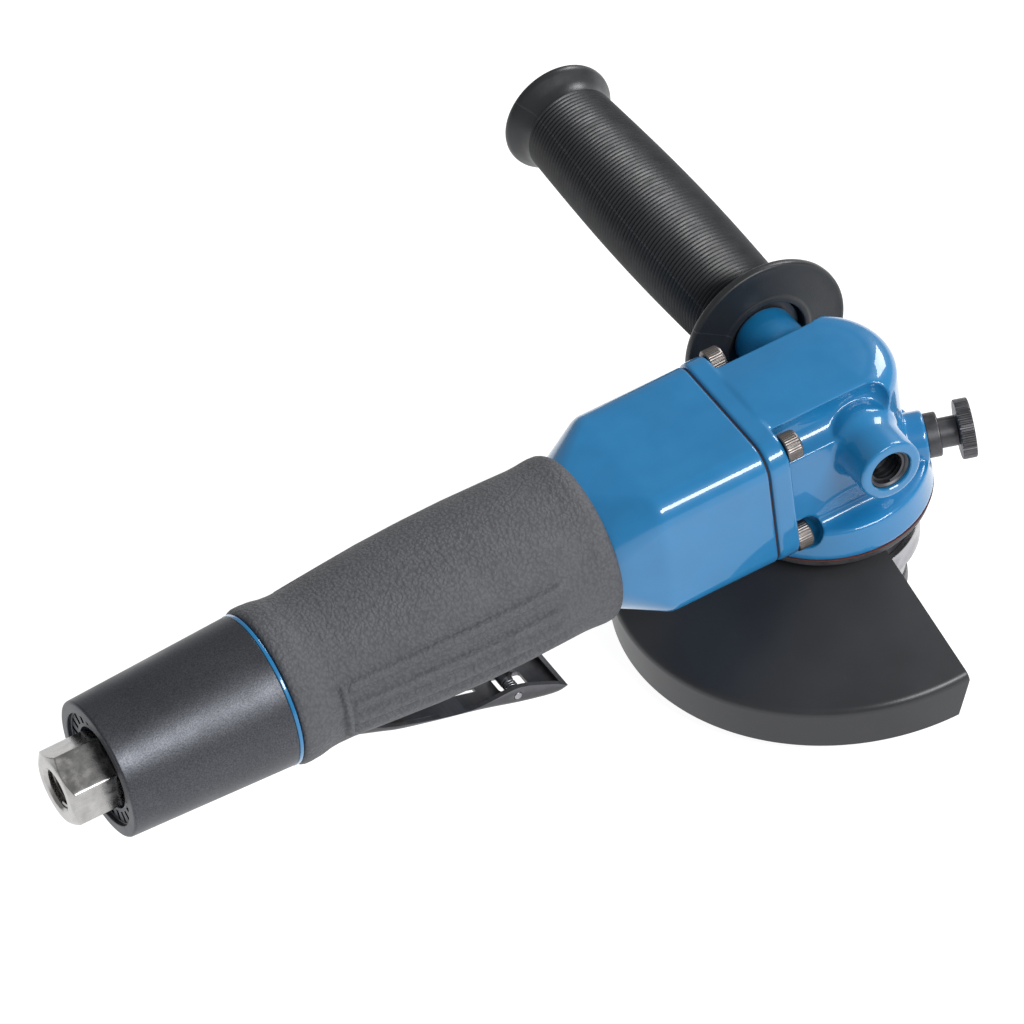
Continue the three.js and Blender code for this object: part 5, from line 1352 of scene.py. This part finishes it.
CAP_SCREW_ANGLES = [math.radians(angle) for angle in (70, 160, 200, 290)]
CAP_SCREW_CIRCLE = 26.2


def cap_places():
    return [(CAP_SCREW_CIRCLE * math.cos(a), CAP_SCREW_CIRCLE * math.sin(a), 0) for a in CAP_SCREW_ANGLES]


def make_cap_screws():
    face, rim, seat, end = -32.3, -31.2, -30.5, -23.5
    crown, head, shank = 1.9, 2.4, 1.4
    slot_half, slot_reach, slot_start, slot_floor = 0.3, 2, -33, -31.7
    screw = turned("screw", [
        (face, 0), (face, crown, 0.4), (rim, head, 0.4), (seat, head), (seat, shank), (end, shank), (end, 0),
    ], SMALL, place=ALONG_Z)
    slot = block("slot", -slot_reach, slot_reach, -slot_half, slot_half, slot_start, slot_floor)
    cross = block("cross", -slot_half, slot_half, -slot_reach, slot_reach, slot_start, slot_floor)
    cut(screw, slot, cross)
    screws = at_places("cap_screws", screw, cap_places(), finish("screw_steel"))
    finished(screws, "retainer_screws", "tool", numbered("cap_screw", 4), "screw_steel")


def make_bearing_cap():
    gasket_bottom, gasket_bore, gasket, gasket_edge, spigot = -27.9, 18.9, 30.3, 0.1, 18.7
    top, floor, plate_bottom, bottom = -22, -33.2, -30.5, -50.7
    seat, plate, neck, bore = 17.57, 29.5, 21, 13.4
    seal = turned("seal", [
        (gasket_bottom, gasket_bore), (gasket_bottom, gasket, gasket_edge),
        (BASE_BOTTOM, gasket, gasket_edge), (BASE_BOTTOM, gasket_bore),
    ], FINE, True, ALONG_Z)
    finished(seal, "base_gasket", "tool", ["cap_gasket"], "red_gasket")
    cap = turned("cap", [
        (floor, seat), (top, seat), (top, spigot), (gasket_bottom, spigot), (gasket_bottom, plate, 0.4),
        (plate_bottom, plate, 0.6), (plate_bottom, neck, 0.4), (bottom, neck, ROUND), (bottom, bore, BROKEN),
        (floor, bore),
    ], FINE, True, ALONG_Z)
    finished(cap, "bearing_retainer", "tool", ["bearing_cap"], "black_steel")


# Guard and its clamp

GUARD_TOP, GUARD_BEND, GUARD_BOTTOM = -33.0, -51.4, -65.8
COLLAR_BOTTOM, COLLAR, COLLAR_BORE = -50.0, 22.9, 21.3


def guard_cover():
    """The whole round dish, before its open side is cut away."""
    sizes = bpy.context.scene.grinder_guard
    radius, sheet, bend = in_mm(sizes.radius), in_mm(sizes.sheet), in_mm(sizes.bend)
    shoulder, collar_edge, top_edge, sides, bend_points = 25.3, 0.4, 0.7, 220, 9
    middle, bend_radius = GUARD_BEND - bend, radius - bend
    run, drop = bend_radius - shoulder, GUARD_TOP - middle
    slope = math.acos(bend / math.hypot(run, drop)) - math.atan2(run, drop)
    underside = middle + (bend - sheet) / math.cos(slope) + run * math.tan(slope)

    def around_bend(distance):
        return [
            (middle + distance * math.cos(turn), bend_radius + distance * math.sin(turn))
            for turn in np.linspace(slope, math.pi / 2, bend_points)
        ]

    return turned("guard", [
        (COLLAR_BOTTOM, COLLAR_BORE, KEEN), (GUARD_TOP, COLLAR_BORE, top_edge), (GUARD_TOP, shoulder, SOFT),
        *around_bend(bend), (GUARD_BOTTOM, radius, SOFT), (GUARD_BOTTOM, radius - sheet, SOFT),
        *around_bend(bend - sheet)[::-1], (underside, shoulder, SOFT), (underside, COLLAR, collar_edge),
        (COLLAR_BOTTOM, COLLAR, KEEN),
    ], sides, True, ALONG_Z)


def guard_open_side():
    """What the guard leaves open, apart from its collar; the ends of the skirt lean back."""
    chord, slant, reach, lip = 1.6, 4.8, 70.0, 0.4
    middle = GUARD_BEND - in_mm(bpy.context.scene.grinder_guard.bend)
    low, high = GUARD_BOTTOM - OVERRUN, GUARD_TOP + OVERRUN
    front = block("front", chord, reach, -reach, reach, low, high)
    lean = slab("lean", [
        (chord, middle), (chord - slant, GUARD_BOTTOM), (chord - slant, low), (reach, low), (reach, middle),
    ], -reach, reach)
    away = joined(front, lean)
    cut(away, rod("hub", low, high, COLLAR + lip, FINE, ALONG_Z))
    away.data.transform(GUARD_TURN)
    return away


def make_guard():
    cover = cut(guard_cover(), guard_open_side())
    edge, edge_angle = 0.35, 55
    bevelled(cover, edge, edge_angle, 2)
    finished(cover, "wheel_guard", "guard", ["guard"], "black_steel", "guard_coat", sharp=36)


BAND, BAND_BORE, BAND_TOP, BAND_BOTTOM = 24.9, 23.1, -40.8, -47.6
EAR_LENGTH = 7.5
BOLT_AXIS = across_at((BAND + EAR_LENGTH / 2, (BAND_TOP + BAND_BOTTOM) / 2))


def make_clamp_band():
    ear_root, ear_half, gap_half, bolt_half, bolt_hole = 0.85, 4.4, 2, 7, 2.1
    ears_end = BAND + EAR_LENGTH
    ring = turned("ring", [
        (BAND_BOTTOM, BAND_BORE), (BAND_BOTTOM, BAND, BROKEN), (BAND_TOP, BAND, BROKEN),
        (BAND_TOP, BAND_BORE),
    ], FINE, True, ALONG_Z)
    ears = block("ears", BAND - ear_root, ears_end, -ear_half, ear_half, BAND_BOTTOM, BAND_TOP)
    joined(ring, bevelled(ears, ROUND))
    gap = block(
        "gap", BAND_BORE - OVERRUN, ears_end + OVERRUN, -gap_half, gap_half,
        BAND_BOTTOM - OVERRUN, BAND_TOP + OVERRUN,
    )
    cut(ring, gap, rod("hole", -bolt_half, bolt_half, bolt_hole, place=BOLT_AXIS))
    ring.data.transform(CLAMP_TURN)
    finished(ring, "clamp_band", "guard", ["guard_clamp"], "steel")


def make_clamp_bolt():
    face, head_end, end, head, shank, across = -7.2, -4.4, 8.6, 3.2, 1.9, 3.0
    key_start, key_end = -8, -5.4
    bolt = turned("bolt", [
        (face, 0), (face, head, SOFT), (head_end, head, KEEN), (head_end, shank), (end, shank, 0.4),
        (end, 0),
    ], SMALL)
    cut(bolt, skin("key", [
        round_ring(place, lambda turns: hex_reach(turns, across), MEDIUM) for place in (key_start, key_end)
    ]))
    bolt.data.transform(CLAMP_TURN @ BOLT_AXIS)
    finished(bolt, "clamp_bolt", "guard", ["clamp_screw"], "screw_steel")


def make_clamp_nut():
    start, end, across, corner, bore, sides = 4.4, 7.0, 6.4, 3.7, 2.05, 120
    chamfer, crown, hex_edge = 0.3, 0.5, 0.06

    def nut_ring(place, inset):
        return round_ring(place, lambda turns: soft_least(
            hex_reach(turns, across), np.full_like(turns, corner - inset), hex_edge,
        ), sides)

    nut = skin("nut", [
        nut_ring(start, crown), nut_ring(start + chamfer, 0), nut_ring(end - chamfer, 0),
        nut_ring(end, crown), round_ring(end, bore, sides), round_ring(start, bore, sides),
    ], around=True)
    nut.data.transform(CLAMP_TURN @ BOLT_AXIS)
    finished(nut, "clamp_bolt_nut", "guard", ["clamp_nut"], "screw_steel")


# Side handle

HANDLE_START, HANDLE_END = 38.0, 146.5


def handle_collar(root):
    """The disc that keeps the hand off the head, with its hollow for the boss and its root."""
    boss_side, flat, disc, disc_side = 33.9, 34.3, 36.9, 37.0
    bore, inner, inner_rim, outer_rim, outer, far_rim = 12.6, 14.2, 14.9, 23.5, 25.9, 26.0
    hollow, root_flare, floor, draw = 12.0, 17.5, 39.7, 0.05
    foot, foot_inset, lap, lap_inset = 0.6, 0.2, 2.4, 0.9
    return turned("collar", [
        (boss_side, bore, SOFT), (boss_side, inner, BROKEN), (flat, inner_rim, 0.4), (flat, outer_rim, 1.2),
        (boss_side + draw, outer, 1.1), (disc, far_rim, 1.3), (disc_side, root_flare, 1.5),
        (HANDLE_START + foot, root - foot_inset, ROUND), (HANDLE_START + lap, root - lap_inset),
        (HANDLE_START + lap, hollow), (floor, hollow), (floor, bore),
    ], FINE, True, FAR_BOSS)


def handle_flare(neck):
    """The end of the handle, which widens to a round lip."""
    end, face, lip, lip_edge = HANDLE_END, 155.5, 17.4, 15.6
    return turned("flare", [
        (end - 1.2, 0), (end - 1.2, neck - 0.5), (end + 0.6, neck - 0.35, 1), (end + 2.4, neck + 0.3, 1.5),
        (end + 4.6, neck + 1.9, 2), (end + 6.3, lip, 1.5), (end + 8.0, lip + 0.05, 1.0),
        (face, lip_edge, 1.2), (face, 0),
    ], FINE, place=FAR_BOSS)


def handle_ribs(sizes):
    ribs = from_tree("ribs", tree_named("Ribbed bar", ribbed_tree), {
        "Length": HANDLE_END - HANDLE_START, "Root": in_mm(sizes.root_radius),
        "Middle": in_mm(sizes.middle_radius), "Neck": in_mm(sizes.neck_radius), "Ribs": sizes.rib_count,
        "Depth": in_mm(sizes.rib_depth), "Steps": 6, "Segments": 132, "Finish": finish("handle_rubber"),
    })
    ribs.data.transform(FAR_BOSS @ at(HANDLE_START) @ UPRIGHT_TO_X)
    return ribs


def make_handle_rubber():
    sizes = bpy.context.scene.grinder_handle
    mouth, mouth_bore, floor, bore, depth = 32, 12.2, 39.9, 6.3, 140
    collar = handle_collar(in_mm(sizes.root_radius))
    hollow = [(mouth, 0), (mouth, mouth_bore), (floor, mouth_bore), (floor, bore), (depth, bore), (depth, 0)]
    grip = joined(handle_ribs(sizes), handle_flare(in_mm(sizes.neck_radius)))
    cut(grip, turned("bore", hollow, MEDIUM, place=FAR_BOSS))
    together(grip, collar)
    stands_for = ["side_handle_grip"]
    finished(grip, "side_handle_rubber", "tool", stands_for, "handle_rubber", sharp=40, flat_first=False)


def make_handle_bolt():
    tip, disc_start, disc_end, end, stud, disc, bar = 24.5, 36.8, 39.5, 138, 5, 12, 6.1
    core = turned("core", [
        (tip, 0), (tip, stud, 0.7), (disc_start, stud), (disc_start, disc, BROKEN), (disc_end, disc, BROKEN),
        (disc_end, bar), (end, bar, SOFT), (end, 0),
    ], MEDIUM, place=FAR_BOSS)
    finished(core, "side_handle_bolt", "tool", ["side_handle_core"], "black_steel")


# Throttle lever, safety catch and valve

LEVER_BOTTOM = [
    (-163, -24.9), (-153, -29.3), (-147, -31.9), (-134.3, -35.9), (-121.6, -39.6), (-108.9, -44.1),
    (-99.3, -46.9), (-95.4, -47.3), (-93.7, -46.7),
]
LEVER_TOP = [
    (-93.7, -45.3), (-97.2, -42.7), (-103.4, -39.3), (-106.6, -37.8), (-110.7, -36.8), (-119.7, -37.1),
    (-126, -36.7), (-134, -34.4), (-152, -27), (-161, -20.6),
]
LEVER_HALF, LEVER_OPEN = 9, -50
PIVOT = (-167, -21.8)
CATCH_PIN = (-109.6, -39.9)


def smooth_line(points, steps=5):
    """A curve through the points, in short straight pieces."""
    found = []
    last = len(points) - 1
    for i in range(last):
        p0, p1 = np.array(points[max(i - 1, 0)]), np.array(points[i])
        p2, p3 = np.array(points[i + 1]), np.array(points[min(i + 2, last)])
        for step in range(steps):
            t = step / steps
            found.append(tuple(0.5 * (
                2 * p1 + (p2 - p0) * t + (2 * p0 - 5 * p1 + 4 * p2 - p3) * t ** 2
                + (3 * p1 - p0 - 3 * p2 + p3) * t ** 3
            )))
    found.append(points[-1])
    return found


def trough(name, line, half_width, radius, lift, start, end):
    """A long block with rounded lower edges whose floor follows a line of (x, z)."""
    table = np.array(sorted(line))
    top, steps, count = 5.0, 6, 60
    rings = []
    for place in np.linspace(start, end, count):
        middle = np.interp(place, table[:, 0], table[:, 1]) + lift + radius
        points = [(place, half_width, top), (place, -half_width, top)]
        for side, quarter in ((-1, 2), (1, 3)):
            for step in range(steps + 1):
                turn = math.pi / 2 * (quarter + step / steps)
                y = side * (half_width - radius) + radius * math.cos(turn)
                points.append((place, y, middle + radius * math.sin(turn)))
        rings.append(np.array(points))
    return skin(name, rings)


def pivot_lug():
    """The round end of the lever's cheeks, about its pivot."""
    radius, first, sweep, steps = 2.6, 60, 230, 16
    turns = [math.radians(first + sweep * step / steps) for step in range(steps + 1)]
    return [(PIVOT[0] + radius * math.cos(turn), PIVOT[1] + radius * math.sin(turn)) for turn in turns]


def make_lever():
    sizes = bpy.context.scene.grinder_lever
    sheet, bend = in_mm(sizes.sheet), in_mm(sizes.bend)
    inner = LEVER_HALF - sheet
    least_bend, outside, hollow_span, window_edge, above = 0.4, (-171, -93), (-154, -95.7), ROUND, 5
    open_rear, window, slot = (-175, -153.9), (-112.5, -103, 3.4, -39.9), (-134, -119, 1.3, -33)
    pin_half, pivot_hole, catch_hole = 11, 1.55, 1.35
    bottom, top = smooth_line(LEVER_BOTTOM), smooth_line(LEVER_TOP)
    plate = slab("lever", pivot_lug() + bottom + top, -LEVER_HALF, LEVER_HALF)
    common(plate, trough("outside", bottom, LEVER_HALF, bend, 0, *outside))
    hollow = trough("hollow", bottom, inner, max(bend - sheet, least_bend), sheet, *hollow_span)
    openings = [block("open_rear", *open_rear, -inner, inner, LEVER_OPEN, above)]
    for start, end, half, ceiling in (window, slot):
        openings.append(block("opening", start, end, -half, half, LEVER_OPEN, ceiling))
    bevelled(openings[1], window_edge)
    cut(
        plate, hollow, *openings, rod("pivot_hole", -pin_half, pin_half, pivot_hole, place=across_at(PIVOT)),
        rod("catch_hole", -pin_half, pin_half, catch_hole, place=across_at(CATCH_PIN)),
    )
    finished(plate, "lever_channel", "lever", ["throttle_lever"], "black_steel")


def make_lever_pin(name, radius, place, body, stands_for):
    half = 9.2
    pin = turned("pin", [
        (-half, 0), (-half, radius, BROKEN), (half, radius, BROKEN), (half, 0),
    ], SMALL, place=across_at(place))
    finished(pin, name, body, [stands_for], "steel")


def make_lever_pins():
    make_lever_pin("lever_pivot", 1.4, PIVOT, "tool", "lever_pin")
    make_lever_pin("catch_pivot", 1.2, CATCH_PIN, "lever", "catch_pin")


def make_safety_catch():
    half, hub_radius, bore, bore_half, sheet_half, edge = 2.6, 2.1, 1.32, 5, 0.7, BROKEN
    hub = turned("hub", [
        (-half, 0), (-half, hub_radius, KEEN), (half, hub_radius, KEEN), (half, 0),
    ], SMALL, place=ALONG_Y)
    lengths_and_turns = ((4, -60), (7.5, 62))
    tabs = []
    for length, turn in lengths_and_turns:
        tabs.append(bevelled(block("tab", 0, length, -half, half, -sheet_half, sheet_half), edge))
        tabs[-1].data.transform(about("Y", turn))
    joined(hub, *tabs)
    cut(hub, rod("bore", -bore_half, bore_half, bore, place=ALONG_Y))
    hub.data.transform(at(CATCH_PIN[0], 0, CATCH_PIN[1]))
    finished(hub, "catch_tab", "catch", ["safety_catch"], "black_steel")


def make_catch_spring():
    springs = bpy.context.scene.grinder_springs
    radius, pitch, side = 1.8, 1.1, -5.1
    turns, wire = springs.catch_turns, in_mm(springs.catch_wire) / 2
    length = turns * pitch - 2 * wire
    start = at(CATCH_PIN[0], side - length / 2, CATCH_PIN[1])
    coil = wound("coil", radius, length, turns, wire, finish("steel"), place=start @ about("X", -90))
    finished(coil, "catch_coil", "lever", ["catch_spring"], "steel")


def make_valve():
    upright = at(VALVE_PLACE) @ ALONG_Z
    bottom, top, floor, radius, stem_bore, bore = -24.7, -13, -21, 5.8, 1.8, 3.4
    guide = turned("guide", [
        (bottom, stem_bore), (bottom, radius, BROKEN), (top, radius, BROKEN), (top, bore, BROKEN),
        (floor, bore), (floor, stem_bore),
    ], SMALL, True, upright)
    finished(guide, "valve_guide", "tool", ["valve_bushing"], "brass")
    end, head_bottom, head_top, tip, shank, head = -31.35, -12.7, -9.7, -6.7, 1.6, 4.6
    stem = turned("stem", [
        (end, 0), (end, shank, SOFT), (head_bottom, shank), (head_bottom, head, BROKEN),
        (head_top, head, BROKEN), (head_top, shank), (tip, shank, BROKEN), (tip, 0),
    ], SMALL, place=upright)
    finished(stem, "valve_plunger", "valve", ["valve_stem"], "steel")


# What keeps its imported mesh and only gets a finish

KEPT_NODES = {
    "steel": [
        "inlet_screen", "front_rotor_bearing", "rear_rotor_bearing", "rotor", "bevel_pinion",
        "pinion_spacer", "bevel_gear", "upper_spindle_bearing", "lower_spindle_bearing", "valve_spring",
    ],
    "cast_iron": ["cylinder_liner", "front_end_plate", "rear_end_plate"],
    "composite": numbered("vane", 5),
    "felt": ["exhaust_silencer"],
}


def finish_inner_parts():
    for slot, names in KEPT_NODES.items():
        for name in names:
            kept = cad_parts[name]
            kept.data.materials.clear()
            kept.data.materials.append(finish(slot))


# Stage

CAMERA_AIM = Vector((-0.1, 0.0, 0.06))
CAMERA_BACK = Vector((-0.292823, -0.64335259, 0.70735573))
CAMERA_RIGHT = Vector((0.85976611, -0.50087383, -0.09963753))
CAMERA_DISTANCE = 3.521
CAMERA_REACH = 12475.0
FRAME_PIXELS = 1024.0
AIM_PIXEL = (521.0, 589.6)
LIGHT_AIM = Vector((-0.05, 0, 0.06))
NEAR_PANEL_PLACE, NEAR_PANEL_SIZE = (0.57, -1.56, 1.5), (1.3, 0.5)
NOSE_PANEL_PLACE, NOSE_PANEL_SIZE = (1.6, 0.77, 1.27), (0.8, 0.8)


def add_camera():
    back = CAMERA_BACK.normalized()
    right = CAMERA_RIGHT.normalized()
    up = back.cross(right)
    across = (AIM_PIXEL[0] - FRAME_PIXELS / 2) / CAMERA_REACH
    above = (FRAME_PIXELS / 2 - AIM_PIXEL[1]) / CAMERA_REACH
    place = CAMERA_AIM + CAMERA_DISTANCE * (back - across * right - above * up)
    turn = Matrix((right, up, back)).transposed().to_4x4()
    lens = bpy.data.cameras.new("camera")
    lens.sensor_fit = "HORIZONTAL"
    lens.sensor_width = 36
    lens.lens = CAMERA_REACH / FRAME_PIXELS * lens.sensor_width
    lens.clip_end = 20
    camera = bpy.data.objects.new("camera", lens)
    camera.matrix_world = at(*place) @ turn
    bpy.context.scene.collection.objects.link(camera)
    bpy.context.scene.camera = camera


def add_light(name, place, size, power):
    lamp = bpy.data.lights.new(name, "AREA")
    lamp.shape = "RECTANGLE"
    lamp.size, lamp.size_y = size
    lamp.energy = power
    light = bpy.data.objects.new(name, lamp)
    turn = (LIGHT_AIM - Vector(place)).to_track_quat("-Z", "Y")
    light.matrix_world = at(*place) @ turn.to_matrix().to_4x4()
    bpy.context.scene.collection.objects.link(light)


def floor_finish(colour, glow):
    """A pale seamless floor that glows round the tool, so that shadows stay faint."""
    glow_near, glow_far, far_share = 0.5, 1.3, 0.3
    made = Finish("studio_floor", colour, 0.9)
    paper = made.fitted(made.noise(0.3, 2.0), 0.3, 0.7)
    made.feed("Base Color", made.blended(paper, colour, shade(colour, 0.985)))
    away = node(made.tree, "ShaderNodeVectorMath", {0: made.place}, operation="LENGTH").outputs["Value"]
    made.set("Emission Color", (1.0, 1.0, 1.0, 1.0))
    made.feed("Emission Strength", made.fitted(away, glow_near, glow_far, glow, glow * far_share))
    made.set("Specular IOR Level", 0.1)
    return made.material


def make_stage():
    settings = bpy.context.scene.grinder_stage
    mesh = bpy.data.meshes.new("floor")
    radius, count, clearance = 6, 24, 0.0004
    level = CAD_BOX[0][2] - clearance
    turns = [2 * math.pi * i / count for i in range(count)]
    edge = [(radius * math.cos(turn), radius * math.sin(turn), level) for turn in turns]
    mesh.from_pydata(edge, [], [tuple(range(count))])
    mesh.materials.append(floor_finish(tuple(settings.floor), settings.glow))
    floor = bpy.data.objects.new("floor", mesh)
    bpy.context.scene.collection.objects.link(floor)
    add_light("near_panel", NEAR_PANEL_PLACE, NEAR_PANEL_SIZE, settings.key)
    add_light("nose_panel", NOSE_PANEL_PLACE, NOSE_PANEL_SIZE, settings.fill)
    scene = bpy.context.scene
    scene.world = bpy.data.worlds.new("studio")
    scene.world.use_nodes = True
    room = next(n for n in scene.world.node_tree.nodes if n.type == "BACKGROUND")
    room.inputs["Color"].default_value = (1, 1, 1, 1)
    room.inputs["Strength"].default_value = settings.surround
    scene.view_settings.view_transform = "Standard"
    scene.view_settings.look = "None"
    add_camera()


# Operators, one for each group of pieces

class GrinderOperator:
    bl_options = {"REGISTER", "UNDO"}
    work = ()

    def execute(self, context):
        for step in self.work:
            step()
        return {"FINISHED"}


class GRINDER_OT_inlet(GrinderOperator, bpy.types.Operator):
    """Make the hex inlet fitting with its thread"""
    bl_idname = "grinder.inlet"
    bl_label = "Inlet fitting"
    work = (make_inlet,)


class GRINDER_OT_exhaust_sleeve(GrinderOperator, bpy.types.Operator):
    """Make the anodised exhaust sleeve with its ring of slots"""
    bl_idname = "grinder.exhaust_sleeve"
    bl_label = "Exhaust sleeve"
    work = (make_exhaust_sleeve,)


class GRINDER_OT_housing(GrinderOperator, bpy.types.Operator):
    """Make the enamelled motor housing and the gasket at its front"""
    bl_idname = "grinder.housing"
    bl_label = "Motor housing"
    work = (make_housing,)


class GRINDER_OT_grip(GrinderOperator, bpy.types.Operator):
    """Make the rubber grip with its side ridges"""
    bl_idname = "grinder.grip"
    bl_label = "Grip"
    work = (make_grip,)


class GRINDER_OT_gear_head(GrinderOperator, bpy.types.Operator):
    """Make the cast gear head and its threaded inserts"""
    bl_idname = "grinder.gear_head"
    bl_label = "Gear head"
    work = (make_gear_head, make_thread_inserts)


class GRINDER_OT_flange_screws(GrinderOperator, bpy.types.Operator):
    """Make the four socket screws of the flange"""
    bl_idname = "grinder.flange_screws"
    bl_label = "Flange screws"
    work = (make_flange_screws,)


class GRINDER_OT_spindle_lock(GrinderOperator, bpy.types.Operator):
    """Make the spindle lock with its knurled knob"""
    bl_idname = "grinder.spindle_lock"
    bl_label = "Spindle lock"
    work = (make_lock_guide, make_lock_stem, make_lock_button, make_lock_spring)


class GRINDER_OT_spindle(GrinderOperator, bpy.types.Operator):
    """Make the spindle, its inner flange and the flange nut"""
    bl_idname = "grinder.spindle"
    bl_label = "Spindle"
    work = (make_spindle_shaft, make_inner_flange, make_flange_nut)


class GRINDER_OT_bearing_cap(GrinderOperator, bpy.types.Operator):
    """Make the bearing cap, its gasket and screws"""
    bl_idname = "grinder.bearing_cap"
    bl_label = "Bearing cap"
    work = (make_bearing_cap, make_cap_screws)


class GRINDER_OT_guard(GrinderOperator, bpy.types.Operator):
    """Make the wheel guard and its clamp"""
    bl_idname = "grinder.guard"
    bl_label = "Guard"
    work = (make_guard, make_clamp_band, make_clamp_bolt, make_clamp_nut)


class GRINDER_OT_side_handle(GrinderOperator, bpy.types.Operator):
    """Make the ribbed side handle and its core"""
    bl_idname = "grinder.side_handle"
    bl_label = "Side handle"
    work = (make_handle_rubber, make_handle_bolt)


class GRINDER_OT_lever(GrinderOperator, bpy.types.Operator):
    """Make the throttle lever, its safety catch and the valve behind it"""
    bl_idname = "grinder.lever"
    bl_label = "Throttle lever"
    work = (make_lever, make_lever_pins, make_safety_catch, make_catch_spring, make_valve)


class GRINDER_OT_inner_parts(GrinderOperator, bpy.types.Operator):
    """Give the hidden motor and gear parts their finishes"""
    bl_idname = "grinder.inner_parts"
    bl_label = "Inner parts"
    work = (finish_inner_parts,)


class GRINDER_OT_stage(GrinderOperator, bpy.types.Operator):
    """Make the floor, the lights and the camera"""
    bl_idname = "grinder.stage"
    bl_label = "Stage"
    work = (make_stage,)


OPERATORS = [
    GRINDER_OT_inlet, GRINDER_OT_exhaust_sleeve, GRINDER_OT_housing, GRINDER_OT_grip, GRINDER_OT_gear_head,
    GRINDER_OT_flange_screws, GRINDER_OT_spindle_lock, GRINDER_OT_spindle, GRINDER_OT_bearing_cap,
    GRINDER_OT_guard, GRINDER_OT_side_handle, GRINDER_OT_lever, GRINDER_OT_inner_parts, GRINDER_OT_stage,
]


class GRINDER_PT_panel(bpy.types.Panel):
    """Lists the grinder's pieces and their sizes"""
    bl_idname = "GRINDER_PT_panel"
    bl_label = "Pneumatic grinder"
    bl_space_type = "VIEW_3D"
    bl_region_type = "UI"
    bl_category = "Grinder"

    def draw(self, context):
        for operator in OPERATORS:
            self.layout.operator(operator.bl_idname)
        for group in GROUPS:
            box = self.layout.box()
            settings = getattr(context.scene, group)
            box.label(text=type(settings).__name__)
            for name in settings.__annotations__:
                box.prop(settings, name)


def register():
    for group in GROUPS.values():
        bpy.utils.register_class(group)
    for name, group in GROUPS.items():
        setattr(bpy.types.Scene, name, PointerProperty(type=group))
    for operator in OPERATORS:
        bpy.utils.register_class(operator)
    bpy.utils.register_class(GRINDER_PT_panel)


def unregister():
    bpy.utils.unregister_class(GRINDER_PT_panel)
    for operator in reversed(OPERATORS):
        bpy.utils.unregister_class(operator)
    for name, group in reversed(GROUPS.items()):
        delattr(bpy.types.Scene, name)
        bpy.utils.unregister_class(group)


def main():
    register()
    bpy.ops.grinder.inlet()
    bpy.ops.grinder.exhaust_sleeve()
    bpy.ops.grinder.housing()
    bpy.ops.grinder.grip()
    bpy.ops.grinder.gear_head()
    bpy.ops.grinder.flange_screws()
    bpy.ops.grinder.spindle_lock()
    bpy.ops.grinder.spindle()
    bpy.ops.grinder.bearing_cap()
    bpy.ops.grinder.guard()
    bpy.ops.grinder.side_handle()
    bpy.ops.grinder.lever()
    bpy.ops.grinder.inner_parts()
    bpy.ops.grinder.stage()


if __name__ == "__main__":
    main()
